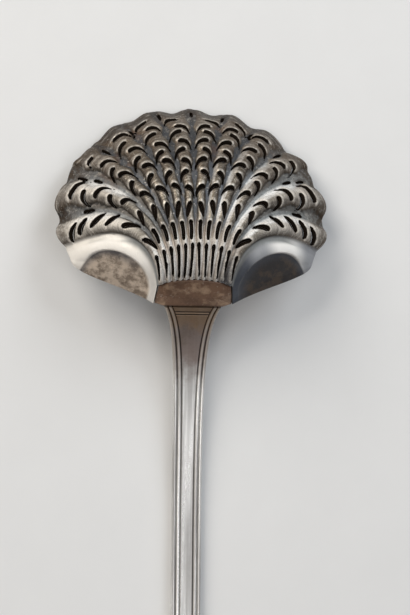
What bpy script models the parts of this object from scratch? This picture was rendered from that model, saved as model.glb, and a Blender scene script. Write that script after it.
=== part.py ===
"""Sugar sifter spoon: a ribbed and pierced silver bowl, a heel plate and a filleted stem, joined by solder.

The spoon lies back up, as on a table: it rests on the bowl's far lip and on a straight stretch of the stem.
The bowl is cut as a flat fan-shaped blank, pierced there, and raised. A point of the blank has two
coordinates: across, which counts ribs from the middle valley, and along, from 0 at the heel to 1 at the rim.
"""

import math

import bmesh
import bpy
import numpy as np
from mathutils import Matrix, Vector
from mathutils.geometry import delaunay_2d_cdt

MM = 0.001

# Bowl, in its own frame: the rim lies in z = 0, the heel's foot is the origin, y runs to the far lip
BOWL_RADIUS = 36.1 * MM
RIM_CENTRE = 21.3 * MM
BOWL_DEPTH = 15.0 * MM
CROWN = 28.0 * MM
SHEET = 1.0 * MM
FAR_FULLNESS = 2.2
HEEL_FULLNESS = 4.4
FULLNESS_TURN = (math.radians(100.0), math.radians(150.0))
BOWL_TILT = math.radians(15.0)

# Ribs: they leave the heel nearly side by side and spread towards the rim
RIB_PAIRS = 6
FAN_ANGLE = math.radians(199.0)
FAN_EASE = 0.08
RIB_HEIGHT = 1.5 * MM
RIB_HEIGHT_AT_HEEL = 0.35 * MM
RIB_SHARE = 0.84
HEEL_SPLAY = 0.19
HEEL_ARM = 17.3 * MM
HEEL_ARM_AT_SIDE = 10.0 * MM
RIM_ARM = 17.3 * MM
RIM_ARM_AT_SIDE = 14.0 * MM

# Ears: plain lobes beside the heel, each with a flat wall down to the near rim
EAR_RADIUS = 33.9 * MM
EAR_START = 0.9
EAR_LEAVES_HEEL = (0.36, 0.226)
EAR_MEETS_TIP = (0.06, 0.163)
EAR_ANGLE = math.radians(6.5)
EAR_HEIGHT = 1.0 * MM
EAR_SHARE = 0.7
CHANNEL_DEPTH = 0.9 * MM
WALL_SLOPE = math.radians(54.0)
WALL_BEND = 0.9 * MM

# Heel plate
HEEL_WIDTH = 20.2 * MM
FOOT_WIDTH = 21.4 * MM
HEEL_REACH = 5.0 * MM
HEEL_REACH_AT_SIDE = 4.0 * MM
HEEL_CORNER_RISE = 0.8 * MM
SEAM = 0.3 * MM

# Piercing: distances along a rib from the heel plate's edge
LONG_SLOT = (1.0 * MM, 8.6 * MM)
MIDDLE_SLOT = (10.3 * MM, 14.7 * MM)
SHORT_SLOT = (16.6 * MM, 20.7 * MM)
SLOT_WIDTH = 1.0 * MM
FIRST_COMMA = 25.1 * MM
COMMA_STEP = 4.1 * MM
COMMA_CLOSING = 0.13 * MM
COMMA_LENGTH = 4.2 * MM
COMMA_WIDTH = 1.3 * MM
DROP_LENGTH = 2.6 * MM
DROP_WIDTH = 1.1 * MM
DROP_SPACING = 4.6 * MM
RIM_MARGIN = 2.2 * MM

# Stem and spatula
STEM_WIDTH = 7.9 * MM
NECK_WIDTH = 15.4 * MM
NECK_FLARE = 9.0 * MM
NECK_SLOPE = math.radians(42.0)
NECK_ARM = 12.0 * MM
NECK_THICKNESS = 2.8 * MM
STEM_THICKNESS = 3.2 * MM
TIP_THICKNESS = 1.8 * MM
REST_START = 60.0 * MM
REST_LENGTH = 22.0 * MM
HANDLE_LENGTH = 156.0 * MM
TIP_RISE = 7.0 * MM
TIP_SLOPE = math.radians(9.0)
BEND_ARM = 28.0 * MM
SPATULA_LENGTH = 58.0 * MM
SPATULA_WIDTH = 21.5 * MM
TIP_LENGTH = 13.0 * MM
OUTER_REED = 1.0 * MM
INNER_REED = 1.25 * MM
GROOVE_WIDTH = 0.25 * MM
GROOVE_DEPTH = 0.35 * MM
EDGE_ROUND = 0.6 * MM

# Soldered joint
JOINT_GAP = 0.3 * MM
FILLET_LEG = 1.6 * MM
FILLET_INSET = 1.0 * MM

# How finely the shapes are set out
LINE_SAMPLES = 33
OUTLINE_SAMPLES = 48
POINT_CLEARANCE = 0.5 * MM
SLOPE_STEP = 0.05 * MM


def smooth_step(value, start, end):
    """0 before start, 1 after end, and an easy rise between them."""
    share = np.clip((value - start) / (end - start), 0.0, 1.0)
    return share * share * (3.0 - 2.0 * share)


def cubic(start, start_arm, end_arm, end, share):
    """Points of cubic Bezier curves; share has one row for each curve."""
    rest = 1.0 - share
    return (
        rest**3 * start
        + 3.0 * rest**2 * share * start_arm
        + 3.0 * rest * share**2 * end_arm
        + share**3 * end
    )


def heel_line(across):
    """Plan points of the edge where the pierced sheet meets the heel plate."""
    side = np.clip(across / RIB_PAIRS, -1.0, 1.0)
    reach = HEEL_REACH - (HEEL_REACH - HEEL_REACH_AT_SIDE) * side**2
    return np.stack([side * HEEL_WIDTH / 2.0, reach], axis=-1)


def heel_foot(x):
    """The foot of the heel: straight behind the stem, rising a little at the corners."""
    stem_side = NECK_WIDTH / 2.0
    return HEEL_CORNER_RISE * smooth_step(np.abs(x), stem_side, FOOT_WIDTH / 2.0)


def rim_point(angle):
    """Plan points of the rim between the ribs: a circle that draws in a little at the ears."""
    drawn_in = smooth_step(np.abs(angle), EAR_START * FAN_ANGLE / 2.0, FAN_ANGLE / 2.0)
    radius = BOWL_RADIUS + (EAR_RADIUS - BOWL_RADIUS) * drawn_in
    return np.stack([radius * np.sin(angle), RIM_CENTRE + radius * np.cos(angle)], axis=-1)


def rib_lines(across, share):
    """Plan points of the blank's lines that run from the heel plate out to the rim."""
    side = (across / RIB_PAIRS)[:, None]
    angle = FAN_ANGLE / 2.0 * ((1.0 - FAN_EASE) * side + FAN_EASE * side**3)
    start = heel_line(across)[:, None, :]
    end = rim_point(angle)
    leave = np.stack([HEEL_SPLAY * side, np.ones_like(side)], axis=-1)
    arrive = np.stack([np.sin(angle), np.cos(angle)], axis=-1)
    outer = (side**2)[..., None]
    heel_arm = HEEL_ARM + (HEEL_ARM_AT_SIDE - HEEL_ARM) * outer
    rim_arm = RIM_ARM + (RIM_ARM_AT_SIDE - RIM_ARM) * outer
    return cubic(start, start + heel_arm * leave, end - rim_arm * arrive, end, share)


def ear_edge(share):
    """Plan points of the right near rim, from the heel plate's corner round to the ear's tip."""
    corner = np.array([FOOT_WIDTH / 2.0, HEEL_CORNER_RISE])
    tip = rim_point(np.array(FAN_ANGLE / 2.0 + EAR_ANGLE))
    reach = tip[0] - corner[0]
    start_arm = corner + np.array(EAR_LEAVES_HEEL) * reach
    end_arm = tip - np.array(EAR_MEETS_TIP) * reach
    return cubic(corner, start_arm, end_arm, tip, share)


def evenly(points, along):
    """The point at the given share of each line's length; points has one line per row."""
    steps = np.linalg.norm(np.diff(points, axis=1), axis=2)
    run = np.concatenate([np.zeros((len(points), 1)), np.cumsum(steps, axis=1)], axis=1)
    wanted = np.clip(along, 0.0, 1.0) * run[:, -1]
    last = np.clip((run < wanted[:, None]).sum(axis=1), 1, points.shape[1] - 1)
    row = np.arange(len(points))
    share = (wanted - run[row, last - 1]) / (run[row, last] - run[row, last - 1])
    return points[row, last - 1] + share[:, None] * (points[row, last] - points[row, last - 1])


def plan_points(across, along):
    """Where points of the blank come to lie in plan once the bowl is raised."""
    across = np.asarray(across, float)
    along = np.asarray(along, float)
    share = np.linspace(0.0, 1.0, LINE_SAMPLES)[None, :, None]
    ribbed = evenly(rib_lines(np.clip(across, -RIB_PAIRS, RIB_PAIRS), share), along)
    into_ear = np.clip(np.abs(across) - RIB_PAIRS, 0.0, 1.0)[:, None]
    edge = np.repeat(ear_edge(share), len(across), axis=0)
    edge = evenly(edge, along) * np.stack([np.sign(across), np.ones_like(across)], axis=-1)
    return ribbed + into_ear * (edge - ribbed)


def line_length(across):
    """Plan length of one of the blank's lines."""
    share = np.linspace(0.0, 1.0, LINE_SAMPLES)[None, :, None]
    points = rib_lines(np.array([float(across)]), share)[0]
    return float(np.linalg.norm(np.diff(points, axis=0), axis=1).sum())


def rim_by_direction():
    """The rim's outline as distance from the crown, by direction, counted from the far lip."""
    share = np.linspace(0.0, 1.0, OUTLINE_SAMPLES)
    angle = share * (FAN_ANGLE / 2.0 + EAR_ANGLE)
    far = rim_point(angle)
    near = ear_edge(share[::-1, None])[1:]
    foot_x = np.linspace(FOOT_WIDTH / 2.0, 0.0, OUTLINE_SAMPLES)[1:]
    foot = np.stack([foot_x, heel_foot(foot_x)], axis=-1)
    outline = np.concatenate([far, near, foot]) - np.array([0.0, CROWN])
    return np.arctan2(outline[:, 0], outline[:, 1]), np.linalg.norm(outline, axis=1)


RIM_DIRECTION, RIM_DISTANCE = rim_by_direction()
NEAR_RIM = ear_edge(np.linspace(0.0, 1.0, OUTLINE_SAMPLES)[:, None])


def to_near_rim(plan):
    """Plan distance to the near rim of the ear on the same side."""
    point = np.column_stack([np.abs(plan[:, 0]), plan[:, 1]])[:, None, :]
    start = NEAR_RIM[None, :-1]
    run = np.diff(NEAR_RIM, axis=0)[None]
    share = ((point - start) * run).sum(axis=2) / (run**2).sum(axis=2)
    foot = start + np.clip(share, 0.0, 1.0)[..., None] * run
    return np.linalg.norm(point - foot, axis=2).min(axis=1)


def dome_height(plan):
    """Height of the smooth dome over the rim plane: full at the heel, rounder at the far lip."""
    offset = plan - np.array([0.0, CROWN])
    direction = np.arctan2(np.abs(offset[:, 0]), offset[:, 1])
    share = np.linalg.norm(offset, axis=1) / np.interp(direction, RIM_DIRECTION, RIM_DISTANCE)
    near = smooth_step(direction, *FULLNESS_TURN)
    dome = BOWL_DEPTH * (1.0 - share ** (FAR_FULLNESS + (HEEL_FULLNESS - FAR_FULLNESS) * near))
    distance = to_near_rim(plan)
    wall = math.tan(WALL_SLOPE) * distance
    bend = np.minimum(WALL_BEND, 0.3 * distance)
    return 0.5 * (dome + wall - np.sqrt((dome - wall) ** 2 + bend**2))


def dome_normal(plan):
    """Outward normal of the smooth dome, from its slope either side of each point."""
    slope = []
    for axis in range(2):
        move = np.zeros(2)
        move[axis] = SLOPE_STEP
        slope.append((dome_height(plan + move) - dome_height(plan - move)) / (2.0 * SLOPE_STEP))
    normal = np.stack([-slope[0], -slope[1], np.ones(len(plan))], axis=-1)
    return normal / np.linalg.norm(normal, axis=1)[:, None]


def relief(across, along):
    """How far the chased ribs and the ears stand out from the smooth dome, and the channels between sink in."""
    past_ribs = np.abs(across) - RIB_PAIRS
    from_crest = np.abs(across) - np.floor(np.abs(across)) - 0.5
    arch = np.clip(1.0 - (2.0 * from_crest / RIB_SHARE) ** 2, 0.0, 1.0)
    height = RIB_HEIGHT_AT_HEEL + (RIB_HEIGHT - RIB_HEIGHT_AT_HEEL) * along
    rib = height * arch * (1.0 - 0.25 * smooth_step(along, 0.92, 1.0))
    ear = np.sin(math.pi * np.clip(past_ribs / EAR_SHARE, 0.0, 1.0))
    ear *= EAR_HEIGHT * smooth_step(along, 0.0, 0.3) * (1.0 - smooth_step(along, 0.75, 1.0))
    channel = smooth_step(past_ribs, -0.1, 0.15) * (1.0 - smooth_step(past_ribs, 0.15, 0.5))
    channel *= CHANNEL_DEPTH * smooth_step(along, 0.0, 0.15) * (1.0 - smooth_step(along, 0.3, 0.7))
    return np.where(past_ribs > 0.0, ear, rib) - channel


def raised(across, along, depth):
    """Points of the raised bowl, at a depth under its chased outer face."""
    across = np.asarray(across, float)
    along = np.asarray(along, float)
    plan = plan_points(across, along)
    base = np.column_stack([plan, dome_height(plan)])
    return base + (relief(across, along) - depth)[:, None] * dome_normal(plan)


HEEL_PITCH = HEEL_WIDTH / (2.0 * RIB_PAIRS)
RIM_PITCH = FAN_ANGLE * BOWL_RADIUS / (2.0 * RIB_PAIRS)
BLANK_LENGTH = RIM_CENTRE + BOWL_RADIUS - HEEL_REACH
BLANK_TURN = (RIM_PITCH - HEEL_PITCH) / BLANK_LENGTH
BLANK_START = HEEL_PITCH / BLANK_TURN


def on_blank(across, along):
    """The flat blank: ribs side by side as the sticks of a fan."""
    radius = BLANK_START + along * BLANK_LENGTH
    angle = across * BLANK_TURN
    return np.stack([radius * np.sin(angle), radius * np.cos(angle)], axis=-1)


def off_blank(points):
    radius = np.linalg.norm(points, axis=-1)
    angle = np.arctan2(points[..., 0], points[..., 1])
    return angle / BLANK_TURN, (radius - BLANK_START) / BLANK_LENGTH


def saw_cut(path, radii):
    """Outline on the blank of a cut along a curved path, blunt at its head and pointed at its tail."""
    path = np.asarray(path)
    run = np.gradient(path, axis=0)
    run /= np.linalg.norm(run, axis=1)[:, None]
    aside = np.stack([-run[:, 1], run[:, 0]], axis=-1) * np.asarray(radii)[:, None]
    head = path[0] - run[0] * radii[0]
    return np.concatenate([[head], (path + aside)[:-1], [path[-1]], (path - aside)[:-1][::-1]])


def rib_path(rib, start, stops):
    """Points on the blank given as (sideways in half ribs, distance past start) pairs."""
    length = line_length(rib)
    across = np.array([rib + math.copysign(0.5, rib) * stop[0] for stop in stops])
    along = np.array([(start + stop[1]) / length for stop in stops])
    return on_blank(across, along)


def bent(head, bend, tail):
    """Points along the curve from a cut's head round its bend to its tail."""
    share = np.array([0.0, 0.22, 0.46, 0.72, 1.0])[:, None]
    head, bend, tail = (np.array(point) for point in (head, bend, tail))
    return (1.0 - share) ** 2 * head + 2.0 * share * (1.0 - share) * bend + share**2 * tail


def is_outermost(rib):
    return abs(rib) > RIB_PAIRS - 1


def slots_of(rib):
    """The straight cuts nearest the heel, drilled at their heads: three, or two on the outermost ribs."""
    wide = SLOT_WIDTH / 2.0
    for tail, head in (LONG_SLOT, MIDDLE_SLOT, SHORT_SLOT)[: 2 if is_outermost(rib) else 3]:
        lean = 0.35 if head == SHORT_SLOT[1] else 0.0
        reach = tail - head
        stops = [(0.0, 0.0), (0.1 * lean, 0.25 * reach), (0.5 * lean, 0.7 * reach), (lean, reach)]
        yield saw_cut(rib_path(rib, head, stops), [wide, 0.85 * wide, 0.7 * wide, 0.0])


def commas_of(rib):
    """The curved cuts further out, bent by turns to one side of the rib and to the other.

    Those of the outermost ribs all slant the same way, from the ear's side up to the crest.
    """
    lean = (abs(rib) - 0.5) / max(RIB_PAIRS - 1, 1)
    wide = COMMA_WIDTH / 2.0
    slant = bent((0.6, 0.0), (0.45, -0.55 * COMMA_LENGTH), (-0.3, -0.85 * COMMA_LENGTH))
    inward = bent((0.12 + 0.4 * lean, 0.0), (-0.75, 0.0), (-0.68, -0.85 * COMMA_LENGTH))
    outward = bent((-0.1 + 0.2 * lean, 0.0), (0.75, 0.0), (0.68, -0.85 * COMMA_LENGTH))
    last = line_length(rib) - RIM_MARGIN
    turn = 0
    head = SHORT_SLOT[1] if is_outermost(rib) else FIRST_COMMA
    while head < last:
        stops = slant if is_outermost(rib) else (inward, outward)[turn % 2]
        radii = np.array([0.75, 1.0, 0.95, 0.6, 0.0]) * wide
        yield saw_cut(rib_path(rib, head, stops), radii)
        head += COMMA_STEP - COMMA_CLOSING * (2 * turn + 1)
        turn += 1


def drops_of(valley):
    """Tear drops in the valley between two ribs, close to the rim."""
    length = line_length(valley)
    wide = DROP_WIDTH / 2.0
    for place in range(2 if abs(valley) > RIB_PAIRS / 2.0 - 1 else 1):
        head = length - RIM_MARGIN - place * DROP_SPACING
        across = np.full(3, float(valley))
        along = (head - np.array([0.0, 0.35, 1.0]) * DROP_LENGTH) / length
        yield saw_cut(on_blank(across, along), [0.8 * wide, wide, 0.0])


def piercing():
    cuts = []
    for pair in range(RIB_PAIRS):
        for sign in (-1.0, 1.0):
            rib = sign * (pair + 0.5)
            cuts.extend(slots_of(rib))
            cuts.extend(commas_of(rib))
    for valley in range(1 - RIB_PAIRS, RIB_PAIRS):
        cuts.extend(drops_of(valley))
    return cuts


def anticlockwise(loop):
    after = np.roll(loop, -1, axis=0)
    area = (loop[:, 0] * after[:, 1] - loop[:, 1] * after[:, 0]).sum()
    return loop if area > 0.0 else loop[::-1]


def blank_outline():
    """The blank's edge: heel, right near rim, far rim, left near rim."""
    ears = RIB_PAIRS + 1.0
    heel = np.linspace(-ears, ears, 4 * (RIB_PAIRS + 1) + 1)
    rim = np.linspace(ears, -ears, 12 * (RIB_PAIRS + 1) + 1)
    side = np.linspace(0.0, 1.0, 15)[1:-1]
    across = np.concatenate([heel, np.full(len(side), ears), rim, np.full(len(side), -ears)])
    along = np.concatenate([np.zeros(len(heel)), side, np.ones(len(rim)), side[::-1]])
    return on_blank(across, along)


def shape_points(taken):
    """Free points on crests, valleys and ears, kept off the cuts and the edge."""
    wanted = []
    for across in np.arange(-RIB_PAIRS, RIB_PAIRS + 0.25, 0.5):
        wanted.extend((across, along) for along in np.arange(0.05, 0.99, 0.055))
    for across in np.arange(0.1, 0.95, 0.1):
        for along in np.linspace(0.0, 1.0, 18)[1:-1] ** 1.3:
            wanted.extend((sign * (RIB_PAIRS + across), along) for sign in (-1.0, 1.0))
    wanted = np.array(wanted)
    points = on_blank(wanted[:, 0], wanted[:, 1])
    gap = np.linalg.norm(points[:, None, :] - taken[None, :, :], axis=2).min(axis=1)
    return points[gap > POINT_CLEARANCE]


def walled(outer, inner, triangles):
    """A sheet of triangles given a second face and walls along every free edge."""
    count = len(outer)
    faces = [tuple(t) for t in triangles]
    faces += [tuple(count + i for i in reversed(t)) for t in triangles]
    edges = {(t[i], t[(i + 1) % 3]) for t in triangles for i in range(3)}
    free = [edge for edge in sorted(edges) if (edge[1], edge[0]) not in edges]
    faces += [(b, a, count + a, count + b) for a, b in free]
    return np.concatenate([outer, inner]), faces


def bowl_mesh():
    edge = blank_outline()
    cuts = piercing()
    loops = [anticlockwise(loop) for loop in [edge] + cuts]
    borders = np.concatenate(loops)
    points = np.concatenate([borders, shape_points(borders)])
    starts = np.cumsum([0] + [len(loop) for loop in loops])
    faces = [list(range(a, b)) for a, b in zip(starts[:-1], starts[1:])]
    flat, _, triangles, _, _, sources = delaunay_2d_cdt(
        [Vector(p / MM) for p in points], [], faces, 0, 1e-5
    )
    kept = [t for t, source in zip(triangles, sources) if list(source) == [0]]
    used = sorted({i for t in kept for i in t})
    place = {old: new for new, old in enumerate(used)}
    kept = [[place[i] for i in t] for t in kept]
    across, along = off_blank(np.array([flat[i][:] for i in used]) * MM)
    return walled(raised(across, along, 0.0), raised(across, along, SHEET), kept)


def heel_plate_mesh():
    """The plain plate in the bowl's heel, a seam's width clear of the sheet on three sides."""
    columns = np.linspace(-1.0, 1.0, 15)
    rows = np.linspace(0.0, 1.0, 6)
    top = heel_line(columns * RIB_PAIRS) - np.array([0.0, SEAM])
    top[:, 0] -= columns * SEAM
    foot_x = columns * (FOOT_WIDTH / 2.0 - SEAM)
    foot = np.column_stack([foot_x, heel_foot(foot_x)])
    plan = np.concatenate([foot + row * (top - foot) for row in rows])
    base = np.column_stack([plan, dome_height(plan)])
    inner = base - SHEET * dome_normal(plan)
    triangles = []
    for row in range(len(rows) - 1):
        for i in range(len(columns) - 1):
            a = row * len(columns) + i
            b = a + len(columns)
            triangles += [(a, a + 1, b + 1), (a, b + 1, b)]
    return walled(base, inner, triangles)


def stem_path(foot_height):
    """Samples of the stem's middle line from the joint to the tip: run, point and slope."""
    away = np.array([-math.cos(NECK_SLOPE), -math.sin(NECK_SLOPE)])
    up = np.array([-math.sin(NECK_SLOPE), math.cos(NECK_SLOPE)])
    start = np.array([0.0, foot_height]) + JOINT_GAP * away - NECK_THICKNESS / 2.0 * up
    rest = np.array([-REST_START, STEM_THICKNESS / 2.0])
    lift = np.array([-REST_START - REST_LENGTH, STEM_THICKNESS / 2.0])
    tip = np.array([-HANDLE_LENGTH, STEM_THICKNESS / 2.0 + TIP_RISE])
    level = np.array([-1.0, 0.0])
    rising = np.array([-math.cos(TIP_SLOPE), math.sin(TIP_SLOPE)])
    share = np.linspace(0.0, 1.0, 60)[:, None]
    neck = cubic(start, start + NECK_ARM * away, rest - BEND_ARM * level, rest, share)
    handle = cubic(lift, lift + BEND_ARM * level, tip - BEND_ARM * rising, tip, share)
    points = np.concatenate([neck, handle])
    run = np.concatenate([[0.0], np.cumsum(np.linalg.norm(np.diff(points, axis=0), axis=1))])
    heading = np.gradient(points, run, axis=0)
    heading[0] = away
    heading[len(neck) - 1] = level
    heading[len(neck)] = level
    heading[-1] = rising
    slope = np.arctan2(heading[:, 1], -heading[:, 0])
    return run, points, slope, run[len(neck) - 1]


def stem_half_width(run, length):
    flare = (NECK_WIDTH - STEM_WIDTH) * np.exp(-run / NECK_FLARE)
    spread = smooth_step(run, length - SPATULA_LENGTH, length - TIP_LENGTH)
    return (STEM_WIDTH + flare + (SPATULA_WIDTH - STEM_WIDTH) * spread) / 2.0


def stem_stations(length, rest_run):
    """Runs at which the stem's section is set out: close together in the neck and round the tip."""
    neck = rest_run * np.linspace(0.0, 1.0, 13) ** 1.6
    rest = rest_run + REST_LENGTH
    handle = np.linspace(rest, length - TIP_LENGTH, 13)
    tip = length - TIP_LENGTH + TIP_LENGTH * np.sin(np.linspace(0.0, math.pi / 2.0, 9)[1:])
    return np.concatenate([neck, handle, tip])


def stem_rings():
    """Lines along the stem as (distance in from the edge, drop below the face) pairs."""
    rings = [(0.0, EDGE_ROUND)]
    start = 0.0
    for reed in (OUTER_REED, INNER_REED):
        rings.append((start + reed / 2.0, 0.0))
        rings.append((start + reed, GROOVE_DEPTH))
        start += reed
    rings.append((start + GROOVE_WIDTH, 0.0))
    return rings


def stem_mesh(foot_height):
    """Two faces with reeds that follow the outline round the tip, a flat panel between, and a plain edge."""
    runs, points, slopes, rest_run = stem_path(foot_height)
    length = runs[-1]
    stations = stem_stations(length, rest_run)
    half = stem_half_width(stations, length)
    into_tip = np.clip((stations - (length - TIP_LENGTH)) / TIP_LENGTH, 0.0, 1.0)
    half = half * np.sqrt(np.clip(1.0 - into_tip**2, 0.0, 1.0))
    inward_run = np.gradient(half, stations)
    inward_run[-1] = -1.0
    inward_side = np.where(into_tip < 1.0, -1.0, 0.0)
    inward_run = np.where(into_tip > 0.0, inward_run, 0.0)
    norm = np.hypot(inward_run, inward_side)
    rings = stem_rings()
    vertices = []
    for face in (1.0, -1.0):
        for inset, drop in rings:
            run = stations + inset * inward_run / norm
            x = np.maximum(half + inset * inward_side / norm, 0.0)
            x[-1] = 0.0
            slope = np.interp(run, runs, slopes)
            thick = np.interp(
                run,
                [0.0, rest_run, rest_run + REST_LENGTH, length],
                [NECK_THICKNESS, STEM_THICKNESS, STEM_THICKNESS, TIP_THICKNESS],
            )
            height = face * (thick / 2.0 - drop)
            y = np.interp(run, runs, points[:, 0]) + height * np.sin(slope)
            z = np.interp(run, runs, points[:, 1]) + height * np.cos(slope)
            right = np.column_stack([x, y, z])
            left = right[-2::-1] * np.array([-1.0, 1.0, 1.0])
            vertices.append(np.concatenate([right, left]))
    count = len(vertices[0])
    half_count = len(stations)
    ring_count = len(rings)

    def index(face, ring, k):
        return (face * ring_count + ring) * count + k

    faces = []
    for k in range(count - 1):
        for face in (0, 1):
            for ring in range(ring_count - 1):
                faces.append(
                    (
                        index(face, ring, k),
                        index(face, ring, k + 1),
                        index(face, ring + 1, k + 1),
                        index(face, ring + 1, k),
                    )
                )
        faces.append((index(0, 0, k), index(0, 0, k + 1), index(1, 0, k + 1), index(1, 0, k)))
    for face in (0, 1):
        panel = ring_count - 1
        for k in range(half_count - 1):
            corners = [k, k + 1, count - 2 - k, count - 1 - k]
            faces.append(tuple(index(face, panel, c) for c in dict.fromkeys(corners)))
    last = count - 1
    end = [index(0, ring, 0) for ring in range(ring_count)]
    end += [index(0, ring, last) for ring in reversed(range(ring_count))]
    end += [index(1, ring, last) for ring in range(ring_count)]
    end += [index(1, ring, 0) for ring in reversed(range(ring_count))]
    faces.append(tuple(end))
    return np.concatenate(vertices), faces


def solder_mesh(foot_height):
    """A run of solder in the corner between the plate's inner face and the stem's end."""
    up = np.array([-math.sin(NECK_SLOPE), math.cos(NECK_SLOPE)])
    foot = np.array([0.0, foot_height])
    normal = dome_normal(np.array([[0.0, 2.0 * SLOPE_STEP]]))[0]
    plate_slope = math.atan2(-normal[1], normal[2]) - BOWL_TILT
    plate_up = np.array([math.cos(plate_slope), math.sin(plate_slope)])
    plate_out = np.array([-math.sin(plate_slope), math.cos(plate_slope)])
    inner = foot - (SHEET + JOINT_GAP) * plate_out
    low = foot - (NECK_THICKNESS - JOINT_GAP / 2.0) * up
    tip = inner + FILLET_LEG * plate_up
    half = NECK_WIDTH / 2.0 - FILLET_INSET
    section = [low, inner, tip]
    vertices = [(sign * half, p[0], p[1]) for sign in (-1.0, 1.0) for p in section]
    faces = [(0, 1, 2), (5, 4, 3), (0, 3, 4, 1), (1, 4, 5, 2), (2, 5, 3, 0)]
    return np.array(vertices), faces


def silver(name, colour, roughness):
    material = bpy.data.materials.new(name)
    material.use_nodes = True
    shader = material.node_tree.nodes["Principled BSDF"]
    shader.inputs["Base Color"].default_value = (*colour, 1.0)
    shader.inputs["Metallic"].default_value = 1.0
    shader.inputs["Roughness"].default_value = roughness
    return material


def add_piece(name, mesh_data, material, parent):
    vertices, faces = mesh_data
    mesh = bpy.data.meshes.new(name)
    mesh.from_pydata([tuple(v) for v in vertices], [], faces)
    shape = bmesh.new()
    shape.from_mesh(mesh)
    bmesh.ops.recalc_face_normals(shape, faces=shape.faces)
    shape.to_mesh(mesh)
    shape.free()
    mesh.shade_smooth()
    mesh.set_sharp_from_angle(angle=math.radians(40.0))
    mesh.materials.append(material)
    piece = bpy.data.objects.new(name, mesh)
    piece.parent = parent
    bpy.context.scene.collection.objects.link(piece)
    return piece


def add_empty(name, parent):
    empty = bpy.data.objects.new(name, None)
    empty.parent = parent
    bpy.context.scene.collection.objects.link(empty)
    return empty


for old in list(bpy.data.objects):
    bpy.data.objects.remove(old)

spoon = add_empty("spoon_frame", None)
bowl_seat = add_empty("bowl_seat", spoon)

bowl_data = bowl_mesh()
tilt = Matrix.Rotation(-BOWL_TILT, 3, "X")
tilted = bowl_data[0] @ np.array(tilt).T
lip_drop = -float(tilted[:, 2].min())
bowl_seat.rotation_euler.x = -BOWL_TILT
bowl_seat.location.z = lip_drop

bowl = add_piece("bowl", bowl_data, silver("tarnished_silver", (0.62, 0.6, 0.57), 0.3), bowl_seat)
plate = add_piece(
    "heel_plate", heel_plate_mesh(), silver("brown_silver", (0.4, 0.33, 0.25), 0.35), bowl_seat
)
stem_data = stem_mesh(lip_drop)
stem = add_piece("stem", stem_data, silver("polished_silver", (0.78, 0.77, 0.75), 0.22), spoon)
solder = add_piece(
    "solder_fillet", solder_mesh(lip_drop), silver("hard_solder", (0.55, 0.54, 0.5), 0.45), spoon
)

spoon.location.y = -(tilted[:, 1].max() + stem_data[0][:, 1].min()) / 2.0
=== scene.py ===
"""Looks of a sugar sifter spoon: tarnished silver, lying back up on a pale table top."""

import math

import bmesh
import bpy
import numpy as np
from mathutils import Matrix, Vector
from mathutils.kdtree import KDTree


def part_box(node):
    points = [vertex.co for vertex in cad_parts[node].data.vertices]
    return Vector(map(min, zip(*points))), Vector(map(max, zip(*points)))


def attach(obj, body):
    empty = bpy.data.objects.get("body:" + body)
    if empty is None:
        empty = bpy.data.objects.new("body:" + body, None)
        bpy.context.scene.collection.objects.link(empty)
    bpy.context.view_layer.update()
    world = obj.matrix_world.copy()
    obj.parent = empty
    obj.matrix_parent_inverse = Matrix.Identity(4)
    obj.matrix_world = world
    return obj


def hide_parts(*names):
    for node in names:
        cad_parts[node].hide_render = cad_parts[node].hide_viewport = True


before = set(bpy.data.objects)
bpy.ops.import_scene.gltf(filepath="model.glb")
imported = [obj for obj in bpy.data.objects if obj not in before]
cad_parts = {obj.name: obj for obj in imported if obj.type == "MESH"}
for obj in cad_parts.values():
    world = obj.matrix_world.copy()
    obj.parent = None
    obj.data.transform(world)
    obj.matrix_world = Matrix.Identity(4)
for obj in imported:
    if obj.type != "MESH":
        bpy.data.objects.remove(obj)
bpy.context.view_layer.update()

MM = 0.001

# Bowl
# One sheet of silver, raised over a stake, chased into twelve ribs and two plain ears, then pierced with a
# saw. The cuts are laid out on the flat blank, where a rib is a straight stick of a fan: across counts ribs
# from the middle valley, and along runs from 0 at the heel plate to 1 at the rim.
BOWL_RADIUS = 36.1 * MM
RIM_CENTRE = 21.3 * MM
BOWL_DEPTH = 15.0 * MM
CROWN = 28.0 * MM
SHEET = 1.0 * MM
FAR_FULLNESS = 2.2
HEEL_FULLNESS = 4.4
FULLNESS_TURN = (math.radians(100.0), math.radians(150.0))
BOWL_TILT = math.radians(15.0)
RIB_PAIRS = 6
FAN_ANGLE = math.radians(199.0)
FAN_EASE = 0.08
HEEL_SPLAY = 0.19
HEEL_TIGHT = 0.085
HEEL_SHIFT = -0.24
LAST_VALLEY_SHIFT = 0.26
HEEL_ARM = (17.3 * MM, 10.0 * MM)
RIM_ARM = (17.3 * MM, 14.0 * MM)
EAR_RADIUS = 33.9 * MM
EAR_START = 0.9
EAR_LEAVES_HEEL = (0.36, 0.226)
EAR_MEETS_TIP = (0.06, 0.163)
EAR_ANGLE = math.radians(6.5)
WALL_SLOPE = math.radians(54.0)
FLAT_MIDDLE = 0.435
FLAT_SPAN = 0.365
FLAT_DEPTH = 6.6 * MM
HEEL_WIDTH = 20.2 * MM
FOOT_WIDTH = 21.4 * MM
HEEL_REACH = (5.0 * MM, 4.0 * MM)
HEEL_CORNER_RISE = 0.8 * MM
NECK_WIDTH = 15.4 * MM


def smooth_step(value, start, end):
    share = np.clip((value - start) / (end - start), 0.0, 1.0)
    return share * share * (3.0 - 2.0 * share)


def part_way(start, end, share):
    return start + share * (end - start)


def unit(vectors):
    return vectors / (np.linalg.norm(vectors, axis=1)[:, None] + 1e-9)


def cubic(start, start_arm, end_arm, end, share):
    rest = 1.0 - share
    bend = 3.0 * rest**2 * share * start_arm + 3.0 * rest * share**2 * end_arm
    return rest**3 * start + bend + share**3 * end


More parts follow.
